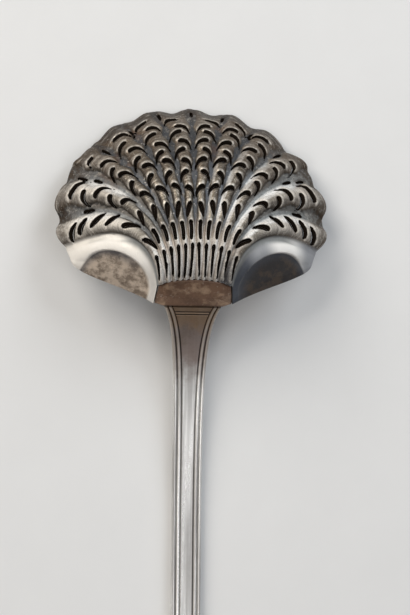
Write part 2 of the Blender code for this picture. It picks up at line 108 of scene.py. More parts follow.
def heel_line(across):
    side = np.clip(across / RIB_PAIRS, -1.0, 1.0)
    return np.stack([side * HEEL_WIDTH / 2.0, part_way(*HEEL_REACH, side**2)], axis=-1)


def heel_foot(x):
    return HEEL_CORNER_RISE * smooth_step(np.abs(x), NECK_WIDTH / 2.0, FOOT_WIDTH / 2.0)


def rim_point(angle):
    drawn_in = smooth_step(np.abs(angle), EAR_START * FAN_ANGLE / 2.0, FAN_ANGLE / 2.0)
    radius = part_way(BOWL_RADIUS, EAR_RADIUS, drawn_in)
    return np.stack([radius * np.sin(angle), RIM_CENTRE + radius * np.cos(angle)], axis=-1)


def rib_lines(across, share):
    side = (across / RIB_PAIRS)[:, None]
    angle = FAN_ANGLE / 2.0 * ((1.0 - FAN_EASE) * side + FAN_EASE * side**3)
    start = heel_line(across)[:, None, :]
    end = rim_point(angle)
    leave = np.stack([HEEL_SPLAY * side, np.ones_like(side)], axis=-1)
    arrive = np.stack([np.sin(angle), np.cos(angle)], axis=-1)
    outer = (side**2)[..., None]
    start_arm = start + part_way(*HEEL_ARM, outer) * leave
    end_arm = end - part_way(*RIM_ARM, outer) * arrive
    return cubic(start, start_arm, end_arm, end, share)


def ear_edge(share):
    corner = np.array([FOOT_WIDTH / 2.0, HEEL_CORNER_RISE])
    tip = rim_point(np.array(FAN_ANGLE / 2.0 + EAR_ANGLE))
    reach = tip[0] - corner[0]
    start_arm = corner + np.array(EAR_LEAVES_HEEL) * reach
    end_arm = tip - np.array(EAR_MEETS_TIP) * reach
    return cubic(corner, start_arm, end_arm, tip, share)


def evenly(points, along):
    steps = np.linalg.norm(np.diff(points, axis=1), axis=2)
    run = np.concatenate([np.zeros((len(points), 1)), np.cumsum(steps, axis=1)], axis=1)
    wanted = np.clip(along, 0.0, 1.0) * run[:, -1]
    last = np.clip((run < wanted[:, None]).sum(axis=1), 1, points.shape[1] - 1)
    row = np.arange(len(points))
    share = (wanted - run[row, last - 1]) / (run[row, last] - run[row, last - 1])
    return part_way(points[row, last - 1], points[row, last], share[:, None])


def fan_line(across, along):
    """The line of the even fan a rib follows: crowded at the heel, and the outermost narrows to the rim."""
    side = np.abs(across) / RIB_PAIRS
    near = 1.0 - np.clip(along, 0.0, 1.0)
    crowded = across * (1.0 - HEEL_TIGHT * near * (1.0 - side**12)) + HEEL_SHIFT * near * (1.0 - side**2)
    last = np.clip(1.0 - np.abs(np.abs(across) - RIB_PAIRS + 1.0), 0.0, 1.0)
    narrowed = LAST_VALLEY_SHIFT * smooth_step(last, 0.0, 1.0) * smooth_step(along, 0.55, 1.0)
    return crowded + np.sign(across) * narrowed


def plan_points(across, along):
    """Where points of the blank come to lie in plan once the bowl is raised."""
    share = np.linspace(0.0, 1.0, 33)[None, :, None]
    ribbed = evenly(rib_lines(fan_line(np.clip(across, -RIB_PAIRS, RIB_PAIRS), along), share), along)
    into_ear = np.clip(np.abs(across) - RIB_PAIRS, 0.0, 1.0)[:, None]
    edge = np.repeat(ear_edge(share), len(across), axis=0)
    edge = evenly(edge, along) * np.stack([np.sign(across), np.ones_like(across)], axis=-1)
    return part_way(ribbed, edge, into_ear)


def rim_by_direction():
    share = np.linspace(0.0, 1.0, 64)
    far = rim_point(share * (FAN_ANGLE / 2.0 + EAR_ANGLE))
    near = ear_edge(share[::-1, None])[1:]
    foot_x = np.linspace(FOOT_WIDTH / 2.0, 0.0, 64)[1:]
    foot = np.stack([foot_x, heel_foot(foot_x)], axis=-1)
    outline = np.concatenate([far, near, foot]) - np.array([0.0, CROWN])
    return np.arctan2(outline[:, 0], outline[:, 1]), np.linalg.norm(outline, axis=1)


rim_direction, rim_distance = rim_by_direction()
near_rim = ear_edge(np.linspace(0.0, 1.0, 40)[:, None])


def to_near_rim(plan):
    """Distance from the ear's near rim, and how far along it the nearest place lies, from heel to tip."""
    point = np.column_stack([np.abs(plan[:, 0]), plan[:, 1]])[:, None, :]
    run = np.diff(near_rim, axis=0)[None]
    share = ((point - near_rim[None, :-1]) * run).sum(axis=2) / (run**2).sum(axis=2)
    share = np.clip(share, 0.0, 1.0)
    distance = np.linalg.norm(point - near_rim[None, :-1] - share[..., None] * run, axis=2)
    nearest = distance.argmin(axis=1)
    row = np.arange(len(plan))
    return distance[row, nearest], (nearest + share[row, nearest]) / (len(near_rim) - 1)


def dome_height(plan):
    offset = plan - np.array([0.0, CROWN])
    direction = np.arctan2(np.abs(offset[:, 0]), offset[:, 1])
    share = np.linalg.norm(offset, axis=1) / np.interp(direction, rim_direction, rim_distance)
    fullness = part_way(FAR_FULLNESS, HEEL_FULLNESS, smooth_step(direction, *FULLNESS_TURN))
    return BOWL_DEPTH * (1.0 - share**fullness)


def ear_flat(plan):
    """How far out each point lies on the D shaped flat of its ear, 1 at its edge, and the flat's height."""
    distance, place = to_near_rim(plan)
    reach = np.hypot((place - FLAT_MIDDLE) / FLAT_SPAN, distance / FLAT_DEPTH)
    return reach, math.tan(WALL_SLOPE) * distance


def dome_normal(plan):
    step = 0.05 * MM
    slope_x = (dome_height(plan + [step, 0.0]) - dome_height(plan - [step, 0.0])) / (2.0 * step)
    slope_y = (dome_height(plan + [0.0, step]) - dome_height(plan - [0.0, step])) / (2.0 * step)
    return unit(np.stack([-slope_x, -slope_y, np.ones(len(plan))], axis=-1))


class Value:
    """What a node gives out; a number among them can be added to, scaled and eased like a plain one."""

    def __init__(self, socket):
        self.socket = socket
        self.tree = socket.id_data

    def __add__(self, other):
        return maths("ADD", self, other)

    def __sub__(self, other):
        return maths("SUBTRACT", self, other)

    def __rsub__(self, other):
        return maths("SUBTRACT", other, self)

    def __mul__(self, other):
        return maths("MULTIPLY", self, other)

    def __truediv__(self, other):
        return maths("DIVIDE", self, other)

    def __pow__(self, other):
        return maths("POWER", self, other)

    def __abs__(self):
        return maths("ABSOLUTE", self)

    def eased(self, start, end):
        """0 up to start and 1 from end on, with an easy rise between; end may be the smaller of the two."""
        inputs = {0: self, 1: start, 2: end}
        return put(self.tree, "ShaderNodeMapRange", inputs, interpolation_type="SMOOTHSTEP")


def feed(node, inputs):
    for key, value in inputs.items():
        if isinstance(value, Value):
            node.id_data.links.new(value.socket, node.inputs[key])
        else:
            node.inputs[key].default_value = value


def add_node(tree, kind, inputs=None, **settings):
    """Adds a node, sets its options and feeds its inputs with values of the tree or plain ones."""
    node = tree.nodes.new(kind)
    for name, value in settings.items():
        setattr(node, name, value)
    feed(node, inputs or {})
    return node


def put(tree, kind, inputs=None, output=0, **settings):
    return Value(add_node(tree, kind, inputs, **settings).outputs[output])


def maths(operation, *values, clamp=False):
    tree = next(value.tree for value in values if isinstance(value, Value))
    return put(tree, "ShaderNodeMath", dict(enumerate(values)), operation=operation, use_clamp=clamp)


def most(first, second):
    return maths("MAXIMUM", first, second)


def least(first, second):
    return maths("MINIMUM", first, second)


def rest_of(value):
    """What the value leaves of 1, kept between 0 and 1."""
    return maths("SUBTRACT", 1.0, value, clamp=True)


def geometry_tree(name, sizes):
    """An empty Geometry Nodes tree with a named input for each size; returns it and its inputs."""
    tree = bpy.data.node_groups.new(name, "GeometryNodeTree")
    tree.interface.new_socket("Geometry", in_out="INPUT", socket_type="NodeSocketGeometry")
    tree.interface.new_socket("Geometry", in_out="OUTPUT", socket_type="NodeSocketGeometry")
    for size in sizes:
        tree.interface.new_socket(size, in_out="INPUT", socket_type="NodeSocketFloat")
    return tree, {socket.name: Value(socket) for socket in tree.nodes.new("NodeGroupInput").outputs}


def named(tree, name, kind="FLOAT"):
    return put(tree, "GeometryNodeInputNamedAttribute", {"Name": name}, "Attribute", data_type=kind)


def stored(geometry, name, value):
    inputs = {"Geometry": geometry, "Name": name, "Value": value}
    return put(geometry.tree, "GeometryNodeStoreNamedAttribute", inputs, data_type="FLOAT", domain="POINT")


def pushed(geometry, amount):
    """Moves each point of a piece along the outward way kept with it."""
    inputs = {0: named(geometry.tree, "outward", "FLOAT_VECTOR"), "Scale": amount}
    shift = put(geometry.tree, "ShaderNodeVectorMath", inputs, operation="SCALE")
    return put(geometry.tree, "GeometryNodeSetPosition", {"Geometry": geometry, "Offset": shift})


def closed(geometry, finish):
    """Ends a tree: instances become real, get their finish and are handed out."""
    real = put(geometry.tree, "GeometryNodeRealizeInstances", {"Geometry": geometry})
    dressed = put(geometry.tree, "GeometryNodeSetMaterial", {"Geometry": real, "Material": finish})
    add_node(geometry.tree, "NodeGroupOutput", {0: dressed})
    return geometry.tree


def new_mesh(name, points, faces):
    mesh = bpy.data.meshes.new(name)
    mesh.from_pydata(np.asarray(points).tolist(), [], faces)
    return mesh


def shown(name, data):
    made = bpy.data.objects.new(name, data)
    bpy.context.scene.collection.objects.link(made)
    return made


def run_tree(tree, mesh, sizes):
    """Runs a tree on a mesh with its sizes set and gives back the result as a plain mesh."""
    holder = shown(mesh.name + "_blank", mesh)
    modifier = holder.modifiers.new(tree.name, "NODES")
    modifier.node_group = tree
    for item in tree.interface.items_tree:
        if item.in_out == "INPUT" and item.name in sizes:
            modifier[item.identifier] = sizes[item.name]
    depsgraph = bpy.context.evaluated_depsgraph_get()
    made = bpy.data.meshes.new_from_object(holder.evaluated_get(depsgraph), depsgraph=depsgraph)
    holder.modifiers.remove(modifier)
    bpy.data.objects.remove(holder)
    return made


def give(mesh, name, values, kind="FLOAT"):
    field = mesh.attributes.new(name, kind, "POINT")
    flat = np.ascontiguousarray(values, np.float32).ravel()
    field.data.foreach_set("vector" if kind == "FLOAT_VECTOR" else "value", flat)


def taken(mesh, name):
    values = np.zeros(len(mesh.vertices), np.float32)
    mesh.attributes[name].data.foreach_get("value", values)
    return values.astype(float)


def corners(mesh):
    values = np.zeros(len(mesh.vertices) * 3, np.float32)
    mesh.vertices.foreach_get("co", values)
    return values.reshape(-1, 3).astype(float)


# The blank and where the saw cuts start on it
RIM_PITCH = FAN_ANGLE * BOWL_RADIUS / (2.0 * RIB_PAIRS)
BLANK_LENGTH = RIM_CENTRE + BOWL_RADIUS - HEEL_REACH[0]
BLANK_TURN = (RIM_PITCH - HEEL_WIDTH / (2.0 * RIB_PAIRS)) / BLANK_LENGTH
BLANK_START = HEEL_WIDTH / (2.0 * RIB_PAIRS) / BLANK_TURN
CUT_ROWS = (0.152, 0.262, 0.366, 0.45, 0.528, 0.599, 0.66, 0.72, 0.78, 0.832, 0.89)
ROW_SPREAD = 0.48
ROW_EASE = 0.3
LAST_ROW = 0.945
# Drops sawn in the valleys near the rim: valley from the middle, along, size
VALLEY_DROPS = (
    (1.0, 0.96, 0.9),
    (2.1, 0.92, 1.0),
    (3.08, 0.93, 1.4),
    (4.1, 0.935, 1.2),
    (4.08, 0.845, 1.3),
    (5.0, 0.83, 1.5),
)
LONG_LENS = 5
DROP = 6
LENS = 7
# How far the saw hand strays on bent and on straight cuts: along, in ribs across, and in length
STRAY_ALONG = (0.0045, 0.002)
STRAY_ACROSS = (0.02, 0.012)
STRAY_LENGTH = (0.07, 0.03)
STRAY_STRETCH = 0.06
HAND_SEED = 11


def on_blank(across, along):
    radius = BLANK_START + along * BLANK_LENGTH
    angle = across * BLANK_TURN
    return np.stack([radius * np.sin(angle), radius * np.cos(angle)], axis=-1)


def cut_heads():
    """Rows of (across, along, kind, side, size) for every cut, kinds counted as in the list of kinds."""
    rows = [(0.0, 0.96, DROP, 1.0, 0.9)]
    for pair in range(RIB_PAIRS):
        outermost = pair == RIB_PAIRS - 1
        out = ((pair + 0.5) / RIB_PAIRS) ** 2
        for row, place in enumerate(CUT_ROWS):
            along = place * (1.0 + ROW_SPREAD * out * min(ROW_EASE * (row + 1), 1.0))
            kind = row if row < 3 else 3 + (row + 1) % 2
            rib = pair + 0.5
            if outermost and row > 0:
                kind = LONG_LENS if row < 3 else LENS
                rib += (0.1 * max(row - 4, -1) - 0.06) * (row > 2)
            size = 1.0 + 0.45 * out * (row > 2) * (not outermost)
            if along < LAST_ROW:
                rows += [(sign * rib, along, kind, sign, size) for sign in (-1.0, 1.0)]
    for valley, along, size in VALLEY_DROPS:
        rows += [(sign * valley, along, DROP, sign, size) for sign in (-1.0, 1.0)]
    return np.array(rows)


# Each kind of cut as head, bend and tail, sideways in half ribs and along in metres, and its widths
SLOT_WIDTHS = ((0.0, 0.75), (0.06, 1.0), (0.2, 0.82), (0.6, 0.74), (1.0, 0.62))
COMMA_WIDTHS = ((0.0, 0.6), (0.12, 0.95), (0.5, 1.0), (0.8, 0.75), (1.0, 0.2))
LENS_WIDTHS = ((0.0, 0.2), (0.2, 0.8), (0.5, 1.0), (0.8, 0.75), (1.0, 0.15))
CUT_KINDS = (
    ((-0.12, 0.0), (0.0, -2.0 * MM), (0.3, -7.3 * MM), SLOT_WIDTHS, "Slot Width"),
    ((0.12, 0.0), (-0.1, -1.2 * MM), (0.15, -4.3 * MM), SLOT_WIDTHS, "Comma Width"),
    ((-0.15, 0.0), (0.15, -0.8 * MM), (0.6, -4.0 * MM), COMMA_WIDTHS, "Comma Width"),
    ((0.3, 0.4 * MM), (-0.64, 0.2 * MM), (-0.76, -2.8 * MM), COMMA_WIDTHS, "Curl Width"),
    ((-0.1, 0.3 * MM), (0.85, 0.1 * MM), (0.92, -2.7 * MM), COMMA_WIDTHS, "Curl Width"),
    ((0.1, 0.0), (-0.4, -2.0 * MM), (-0.64, -6.0 * MM), COMMA_WIDTHS, "Lens Width"),
    ((0.0, 0.0), (0.0, -1.3 * MM), (0.0, -2.6 * MM), COMMA_WIDTHS, "Drop Width"),
    ((0.46, 0.2 * MM), (-0.1, -1.4 * MM), (-0.58, -3.4 * MM), LENS_WIDTHS, "Lens Width"),
)
PIERCING = {
    "Slot Width": 1.1 * MM,
    "Comma Width": 1.45 * MM,
    "Curl Width": 1.3 * MM,
    "Lens Width": 1.45 * MM,
    "Drop Width": 1.4 * MM,
}


def piercing_tree(finish):
    """Sets one saw stroke of its kind at every head, turned to its rib and stretched to the rib's width."""
    tree, given = geometry_tree("piercing", PIERCING)
    strokes = add_node(tree, "GeometryNodeJoinGeometry")
    for head, bend, tail, widths, width_name in reversed(CUT_KINDS):
        ends = {"Start": (*head, 0.0), "Middle": (*bend, 0.0), "End": (*tail, 0.0)}
        line = put(tree, "GeometryNodeCurveQuadraticBezier", {"Resolution": 23} | ends)
        factor = put(tree, "GeometryNodeSplineParameter", output="Factor")
        taper = add_node(tree, "ShaderNodeFloatCurve", {"Value": factor})
        curve = taper.mapping.curves[0]
        curve.points[0].location = widths[0]
        curve.points[1].location = widths[-1]
        for place in widths[1:-1]:
            curve.points.new(*place)
        taper.mapping.update()
        kept = stored(line, "half_width", Value(taper.outputs[0]) * given[width_name] * 0.5)
        wire = put(tree, "GeometryNodeCurveToMesh", {"Curve": kept})
        feed(strokes, {0: put(tree, "GeometryNodeGeometryToInstance", {0: wire})})
    sized = {"X": named(tree, "stretch"), "Y": named(tree, "size"), "Z": 1.0}
    inputs = {
        "Points": given["Geometry"],
        "Instance": Value(strokes.outputs[0]),
        "Pick Instance": True,
        "Instance Index": named(tree, "kind", "INT"),
        "Rotation": put(tree, "ShaderNodeCombineXYZ", {"Z": named(tree, "turn")}),
        "Scale": put(tree, "ShaderNodeCombineXYZ", sized),
    }
    return closed(put(tree, "GeometryNodeInstanceOnPoints", inputs), finish)


def on_dome(across, along):
    plan = plan_points(across, along)
    return np.column_stack([plan, dome_height(plan)])


def saw_strokes(finish):
    """All saw strokes as blank coordinates, points on the dome and half widths, uneven as from a hand saw."""
    heads = cut_heads()
    hand = np.random.default_rng(HAND_SEED)
    wobble = hand.normal(0.0, 1.0, (len(heads), 4))
    across, along, kind, side, size = heads.T
    bent = kind > 2
    along = along + np.where(bent, *STRAY_ALONG) * wobble[:, 0]
    across = across + np.where(bent, *STRAY_ACROSS) * wobble[:, 1]
    places = on_blank(across, along)
    mesh = new_mesh("cut_heads", np.column_stack([places, np.zeros(len(places))]), [])
    radius = np.linalg.norm(places, axis=1)
    give(mesh, "turn", -across * BLANK_TURN)
    slim = 1.0 - 0.24 * smooth_step(np.abs(across), 2.6, 4.0) * bent * (kind < LONG_LENS)
    give(mesh, "stretch", side * slim * 0.5 * BLANK_TURN * radius * (1.0 + STRAY_STRETCH * wobble[:, 2]))
    give(mesh, "size", size * (1.0 + np.where(bent, *STRAY_LENGTH) * wobble[:, 3]))
    field = mesh.attributes.new("kind", "INT", "POINT")
    field.data.foreach_set("value", kind.astype(np.int32))
    made = run_tree(piercing_tree(finish), mesh, PIERCING)
    x, y = corners(made)[:, :2].T
    across = np.arctan2(x, y) / BLANK_TURN
    along = (np.hypot(x, y) - BLANK_START) / BLANK_LENGTH
    places = np.stack([across, np.clip(along, 0.0, 1.0)], axis=-1)
    finer = 1.0 - 0.32 * smooth_step(along, 0.5, 0.9) * (1.0 - smooth_step(np.abs(across), 3.6, 5.0))
    return places, on_dome(*places.T), finer * taken(made, "half_width")


# The sheet: a grid on the blank, opened along the saw strokes
CUT_LEAN = 0.96
SWAY = 0.07
RIB_COLUMNS = 18
EAR_COLUMNS = 46
SHEET_ROWS = 140
# Tops and hollows of the filed rim: ribs from the middle, millimetres outside the even rim
RIM_TURNS = (
    (-6.0, 0.6), (-5.0, 0.0), (-4.75, 1.0), (-4.4, 0.5), (-3.85, 1.4), (-3.5, 0.0), (-3.0, 0.8), (-2.8, 0.1),
    (-2.15, 1.2), (-1.7, -0.4), (-1.1, 1.0), (-0.5, -1.3), (0.0, 0.7), (0.65, -1.4), (1.15, 0.8), (1.8, -0.8),
    (2.2, 0.9), (3.0, 0.1), (3.95, 1.5), (4.4, 0.6), (4.65, 0.9), (4.9, 0.2), (6.0, 0.5),
)


def nearest_stroke(points, strokes):
    tree = KDTree(len(strokes))
    for i, place in enumerate(strokes):
        tree.insert(place, i)
    tree.balance()
    return np.array([tree.find(place)[1] for place in points])


def saw_gap(across, along, strokes, half_width):
    """Distance from each point to the nearest cut's edge, and how far it lies on that cut's rim side."""
    points = on_dome(across, along)
    before, after = (on_dome(across, np.clip(along + step, 0.0, 1.0)) for step in (-0.01, 0.01))
    outward = unit(after - before)
    nearest = nearest_stroke(points, strokes)
    off = points - strokes[nearest]
    distance = np.linalg.norm(off, axis=1)
    return distance - half_width[nearest], (off * outward).sum(axis=1) / (distance + 1e-9)


def rim_shift(across, along, plan):
    """How far the filed lobes of the rim stand outside the even rim, easing in over the last rows of cuts."""
    rib, height = np.array(RIM_TURNS).T
    turn = np.clip(np.searchsorted(rib, across), 1, len(rib) - 1)
    lobe = part_way(height[turn - 1], height[turn], smooth_step(across, rib[turn - 1], rib[turn]))
    lobe = MM * lobe * np.clip(RIB_PAIRS + 1.0 - np.abs(across), 0.0, 1.0)
    return (lobe * smooth_step(along, 0.8, 1.0))[:, None] * unit(plan - np.array([0.0, RIM_CENTRE]))


def cells(rows, columns):
    """The four corners of every cell of a grid, row by row, as numbers of its points."""
    wide = columns + 1
    firsts = [row * wide + column for row in range(rows) for column in range(columns)]
    return [(a, a + 1, a + wide + 1, a + wide) for a in firsts]


def opened_sheet(strokes, half_width):
    """Blank coordinates, cut distances and faces of the sheet once the cuts are open."""
    ears = np.linspace(0.0, 1.0, EAR_COLUMNS + 1)[1:]
    ribs = np.linspace(-RIB_PAIRS, RIB_PAIRS, 2 * RIB_PAIRS * RIB_COLUMNS + 1)
    column = np.concatenate([-RIB_PAIRS - ears[::-1], ribs, RIB_PAIRS + ears])
    row = np.linspace(0.0, 1.0, SHEET_ROWS + 1)
    across, along = (grid.ravel() for grid in np.meshgrid(column, row))
    gap, rise = saw_gap(across, along, strokes, half_width)
    gap = np.where(np.abs(across) > RIB_PAIRS, np.maximum(gap, 0.2 * MM), gap)
    values = np.stack([across, along, gap, rise], axis=1)
    whole = gap > 0.0
    number = np.full(len(gap), -1)
    number[whole] = np.arange(whole.sum())
    table = values[whole]
    extra = []
    crossing = {}

    def split(a, b):
        key = (min(a, b), max(a, b))
        if key not in crossing:
            inside, outside = (a, b) if whole[a] else (b, a)
            share = gap[inside] / (gap[inside] - gap[outside])
            point = part_way(values[inside], values[outside], min(max(share, 0.1), 0.9))
            point[2] = 0.0
            crossing[key] = len(table) + len(extra)
            extra.append(point)
        return crossing[key]

    faces = []
    for ring in cells(SHEET_ROWS, len(column) - 1):
        loop = []
        for here, after in zip(ring, ring[1:] + ring[:1]):
            if whole[here]:
                loop.append(number[here])
            if whole[here] != whole[after]:
                loop.append(split(here, after))
        if loop:
            faces.append(tuple(loop))
    return np.concatenate([table, np.array(extra)]), faces


def walled(count, faces):
    """Adds the second face and the walls along every free edge to a sheet of faces."""
    edges = {}
    for face in faces:
        for a, b in zip(face, face[1:] + face[:1]):
            edges[(a, b)] = True
    free = [edge for edge in edges if (edge[1], edge[0]) not in edges]
    under = [tuple(count + i for i in reversed(face)) for face in faces]
    return faces + under + [(b, a, count + a, count + b) for a, b in free]


def two_faced(name, points, faces, outward, edge_gap):
    """A sheet of metal from the points of its two faces, one after the other, with walls between them."""
    mesh = new_mesh(name, points, walled(len(outward), faces))
    give(mesh, "edge_gap", np.tile(edge_gap, 2))
    give(mesh, "under", np.repeat([0.0, 1.0], len(outward)))
    give(mesh, "outward", np.tile(outward, (2, 1)), "FLOAT_VECTOR")
    return mesh


def rib_sway(across, along):
    """How far each rib's crest swings out, in ribs: it gives way to one cut and comes back at the next."""
    out = (np.minimum(np.floor(np.abs(across)) + 0.5, RIB_PAIRS) / RIB_PAIRS) ** 2
    swing = [0.0, 0.0] + [SWAY * (-1.0) ** row for row in range(len(CUT_ROWS) - 2)]
    return np.interp(along / (1.0 + ROW_SPREAD * out), CUT_ROWS, swing) * (out < 0.8)


CHASING = {
    "Rib Height": 1.4 * MM,
    "Height at Heel": 0.5 * MM,
    "Outer Gain": 0.35,
    "Rib Share": 0.72,
    "Share at Rim": 0.84,
    "Outer Share": 0.6,
    "Ear Height": 1.0 * MM,
    "Channel Depth": 0.5 * MM,
    "Lip Height": 0.4 * MM,
    "Lip Width": 0.5 * MM,
    "Ripple Height": 0.16 * MM,
    "Ripple Width": 0.2 * MM,
    "Ripple Distance": 0.85 * MM,
    "Edge Drop": 0.1 * MM,
    "Edge Width": 0.3 * MM,
    "Hammer Depth": 0.16 * MM,
}


def bell(value):
    return maths("EXPONENT", value * value * -1.0)


def dented(tree, scale, detail, depth):
    """Heights of the dents a hammer leaves, up and down from the smooth face."""
    inputs = {"Scale": scale, "Detail": detail}
    return (put(tree, "ShaderNodeTexNoise", inputs, noise_dimensions="3D") - 0.5) * depth


def relief_tree(finish):
    """Chases ribs, ears and channels into the sheet, turns up the lips of the cuts and softens edges."""
    tree, given = geometry_tree("chasing", CHASING)
    across = abs(named(tree, "across"))
    along = named(tree, "along")
    gap = named(tree, "cut_gap")
    under = named(tree, "under")
    past = across - float(RIB_PAIRS)
    in_ear = maths("GREATER_THAN", past, 0.0)
    slim_ribs = across.eased(2.6, 4.0) * across.eased(5.02, 4.98)
    share = along.eased(0.4, 1.0) * (given["Share at Rim"] - given["Rib Share"]) + given["Rib Share"]
    share = along.eased(0.2, 0.5) * ((given["Outer Share"] - share) * slim_ribs) + share
    from_crest = maths("FRACT", across) - (named(tree, "sway") + 0.5)
    arch = rest_of(abs(from_crest * 2.0 / share) ** 2.2) ** 0.8
    height = (given["Rib Height"] - given["Height at Heel"]) * along + given["Height at Heel"]
    fade = along.eased(0.85, 1.0) * (across.eased(2.6, 4.0) * 0.45 - 0.5) + 1.0
    rib = height * arch * (fade * (slim_ribs * given["Outer Gain"] + 1.0)) * (1.0 - in_ear)
    bulge = maths("SINE", maths("DIVIDE", past, 0.7, clamp=True) * math.pi)
    ear = bulge * (along.eased(0.0, 0.3) * along.eased(1.0, 0.75)) * given["Ear Height"]
    ear = ear * in_ear * (1.0 - named(tree, "flat"))
    channel = past.eased(-0.3, -0.08) * past.eased(0.25, -0.04)
    channel = channel * (along.eased(0.0, 0.15) * along.eased(0.7, 0.3)) * given["Channel Depth"]
    far = along.eased(0.2, 0.42)
    around = (1.0 - far) * 0.6 + (named(tree, "rise") * 0.8 + 0.1) * far
    ripple = bell((gap - given["Ripple Distance"]) / given["Ripple Width"]) * far * given["Ripple Height"]
    lip = bell(gap / given["Lip Width"]) * given["Lip Height"] + ripple
    lip = lip * around * arch.eased(0.0, 0.3) * (1.0 - under)
    edge = rest_of(named(tree, "edge_gap") / given["Edge Width"])
    drop = edge * edge * given["Edge Drop"] * (1.0 - under * 2.0)
    dents = dented(tree, 260.0, 2.0, given["Hammer Depth"])
    moved = pushed(given["Geometry"], rib + ear - channel + lip + (dents - drop))
    return closed(stored(moved, "crest", arch), finish)


def seat_of_bowl(tilted):
    """The move that sets the tilted bowl on the table, where the solid bowl stands."""
    low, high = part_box("bowl")
    return np.array([0.0, high.y - tilted[:, 1].max(), low.z - tilted[:, 2].min()])


def add_piece(name, mesh, sharp=35.0):
    mesh.name = name
    mesh.shade_smooth()
    mesh.set_sharp_from_angle(angle=math.radians(sharp))
    return shown(name, mesh)


def new_material(name):
    """A new material; returns it, its tree, its Principled BSDF and the place on the object."""
    material = bpy.data.materials.new(name)
    material.use_nodes = True
    tree = material.node_tree
    return material, tree, tree.nodes["Principled BSDF"], put(tree, "ShaderNodeTexCoord", output="Object")


def mixed(share, first, second):
    return put(share.tree, "ShaderNodeMix", {0: share, 6: first, 7: second}, 2, data_type="RGBA")


def layered(colour, *coats):
    """Lays coats, each given as how much of it and its colour, one over the other."""
    for share, coat in coats:
        colour = mixed(share, colour, coat)
    return colour


def blotches(place, scale, detail, rough):
    inputs = {"Vector": place, "Scale": scale, "Detail": detail, "Roughness": rough}
    return put(place.tree, "ShaderNodeTexNoise", inputs)


def surface(tree, name):
    return put(tree, "ShaderNodeAttribute", output="Fac", attribute_name=name)


def bumped(height, strength, depth):
    return put(height.tree, "ShaderNodeBump", {"Strength": strength, "Distance": depth, "Height": height})


SCRATCH_TURN = (0.2, 0.1, 0.35)
SCRATCH_SCALE = (5200.0, 320.0, 900.0)
TARNISH_BLUR = 0.12


def tarnish_group():
    """Shared tarnish: a cloudy mask for the brown film, and a height for its grain and fine scratches."""
    group = bpy.data.node_groups.new("tarnish", "ShaderNodeTree")
    group.interface.new_socket("Place", in_out="INPUT", socket_type="NodeSocketVector")
    group.interface.new_socket("Amount", in_out="INPUT", socket_type="NodeSocketFloat")
    for name in ("Brown", "Height"):
        group.interface.new_socket(name, in_out="OUTPUT", socket_type="NodeSocketFloat")
    given = group.nodes.new("NodeGroupInput").outputs
    place = Value(given["Place"])
    level = 1.0 - Value(given["Amount"])
    speck = blotches(place, 1100.0, 3.0, 0.7)
    cloud = speck * 0.35 + blotches(place, 170.0, 4.0, 0.6) * 0.65
    turned = {"Vector": place, "Rotation": SCRATCH_TURN, "Scale": SCRATCH_SCALE}
    scratches = blotches(put(group, "ShaderNodeMapping", turned), 1.0, 2.0, 0.5).eased(0.56, 0.7)
    ends = {
        "Brown": cloud.eased(level - TARNISH_BLUR, level + TARNISH_BLUR),
        "Height": speck * 0.5 - scratches * 0.25,
    }
    add_node(group, "NodeGroupOutput", ends)
    return group


tarnish = tarnish_group()


def tarnished(place, amount):
    """The brown film and the fine height of tarnish, more of it the larger the amount."""
    node = add_node(place.tree, "ShaderNodeGroup", {}, node_tree=tarnish)
    feed(node, {"Place": place, "Amount": amount})
    return Value(node.outputs["Brown"]), Value(node.outputs["Height"])


BRIGHT_SILVER = (0.88, 0.865, 0.84, 1.0)
VALLEY_GREY = (0.085, 0.089, 0.098, 1.0)
WARM_SILVER = (0.74, 0.685, 0.61, 1.0)
CREAM_SILVER = (0.86, 0.795, 0.71, 1.0)
RIB_SHADE = (0.085, 0.074, 0.063, 1.0)
RIB_BROWN = (0.175, 0.152, 0.118, 1.0)
BROWN_TARNISH = (0.13, 0.088, 0.056, 1.0)
# black of the tarnish in low places, also the colour of the painted shadow beside the cuts
BLACK_TARNISH_AND_SHADE = (0.012, 0.0095, 0.008, 1.0)
CUT_BLACK = (0.011, 0.008, 0.006, 1.0)
HOLLOW_GREY = (0.1, 0.092, 0.084, 1.0)
RUST = (0.16, 0.075, 0.035, 1.0)
EAR_BROWN = (0.22, 0.168, 0.125, 1.0)
EAR_TAN = (0.64, 0.525, 0.42, 1.0)
RIGHT_FLAT_SHADE = (0.035, 0.031, 0.031, 1.0)
EAR_UMBER = (0.075, 0.055, 0.041, 1.0)
EAR_BLUE = (0.062, 0.07, 0.088, 1.0)
EAR_GREY = (0.25, 0.255, 0.25, 1.0)
EAR_STEEL = (0.2, 0.21, 0.235, 1.0)
WAVE_LENGTH = 0.6 * MM


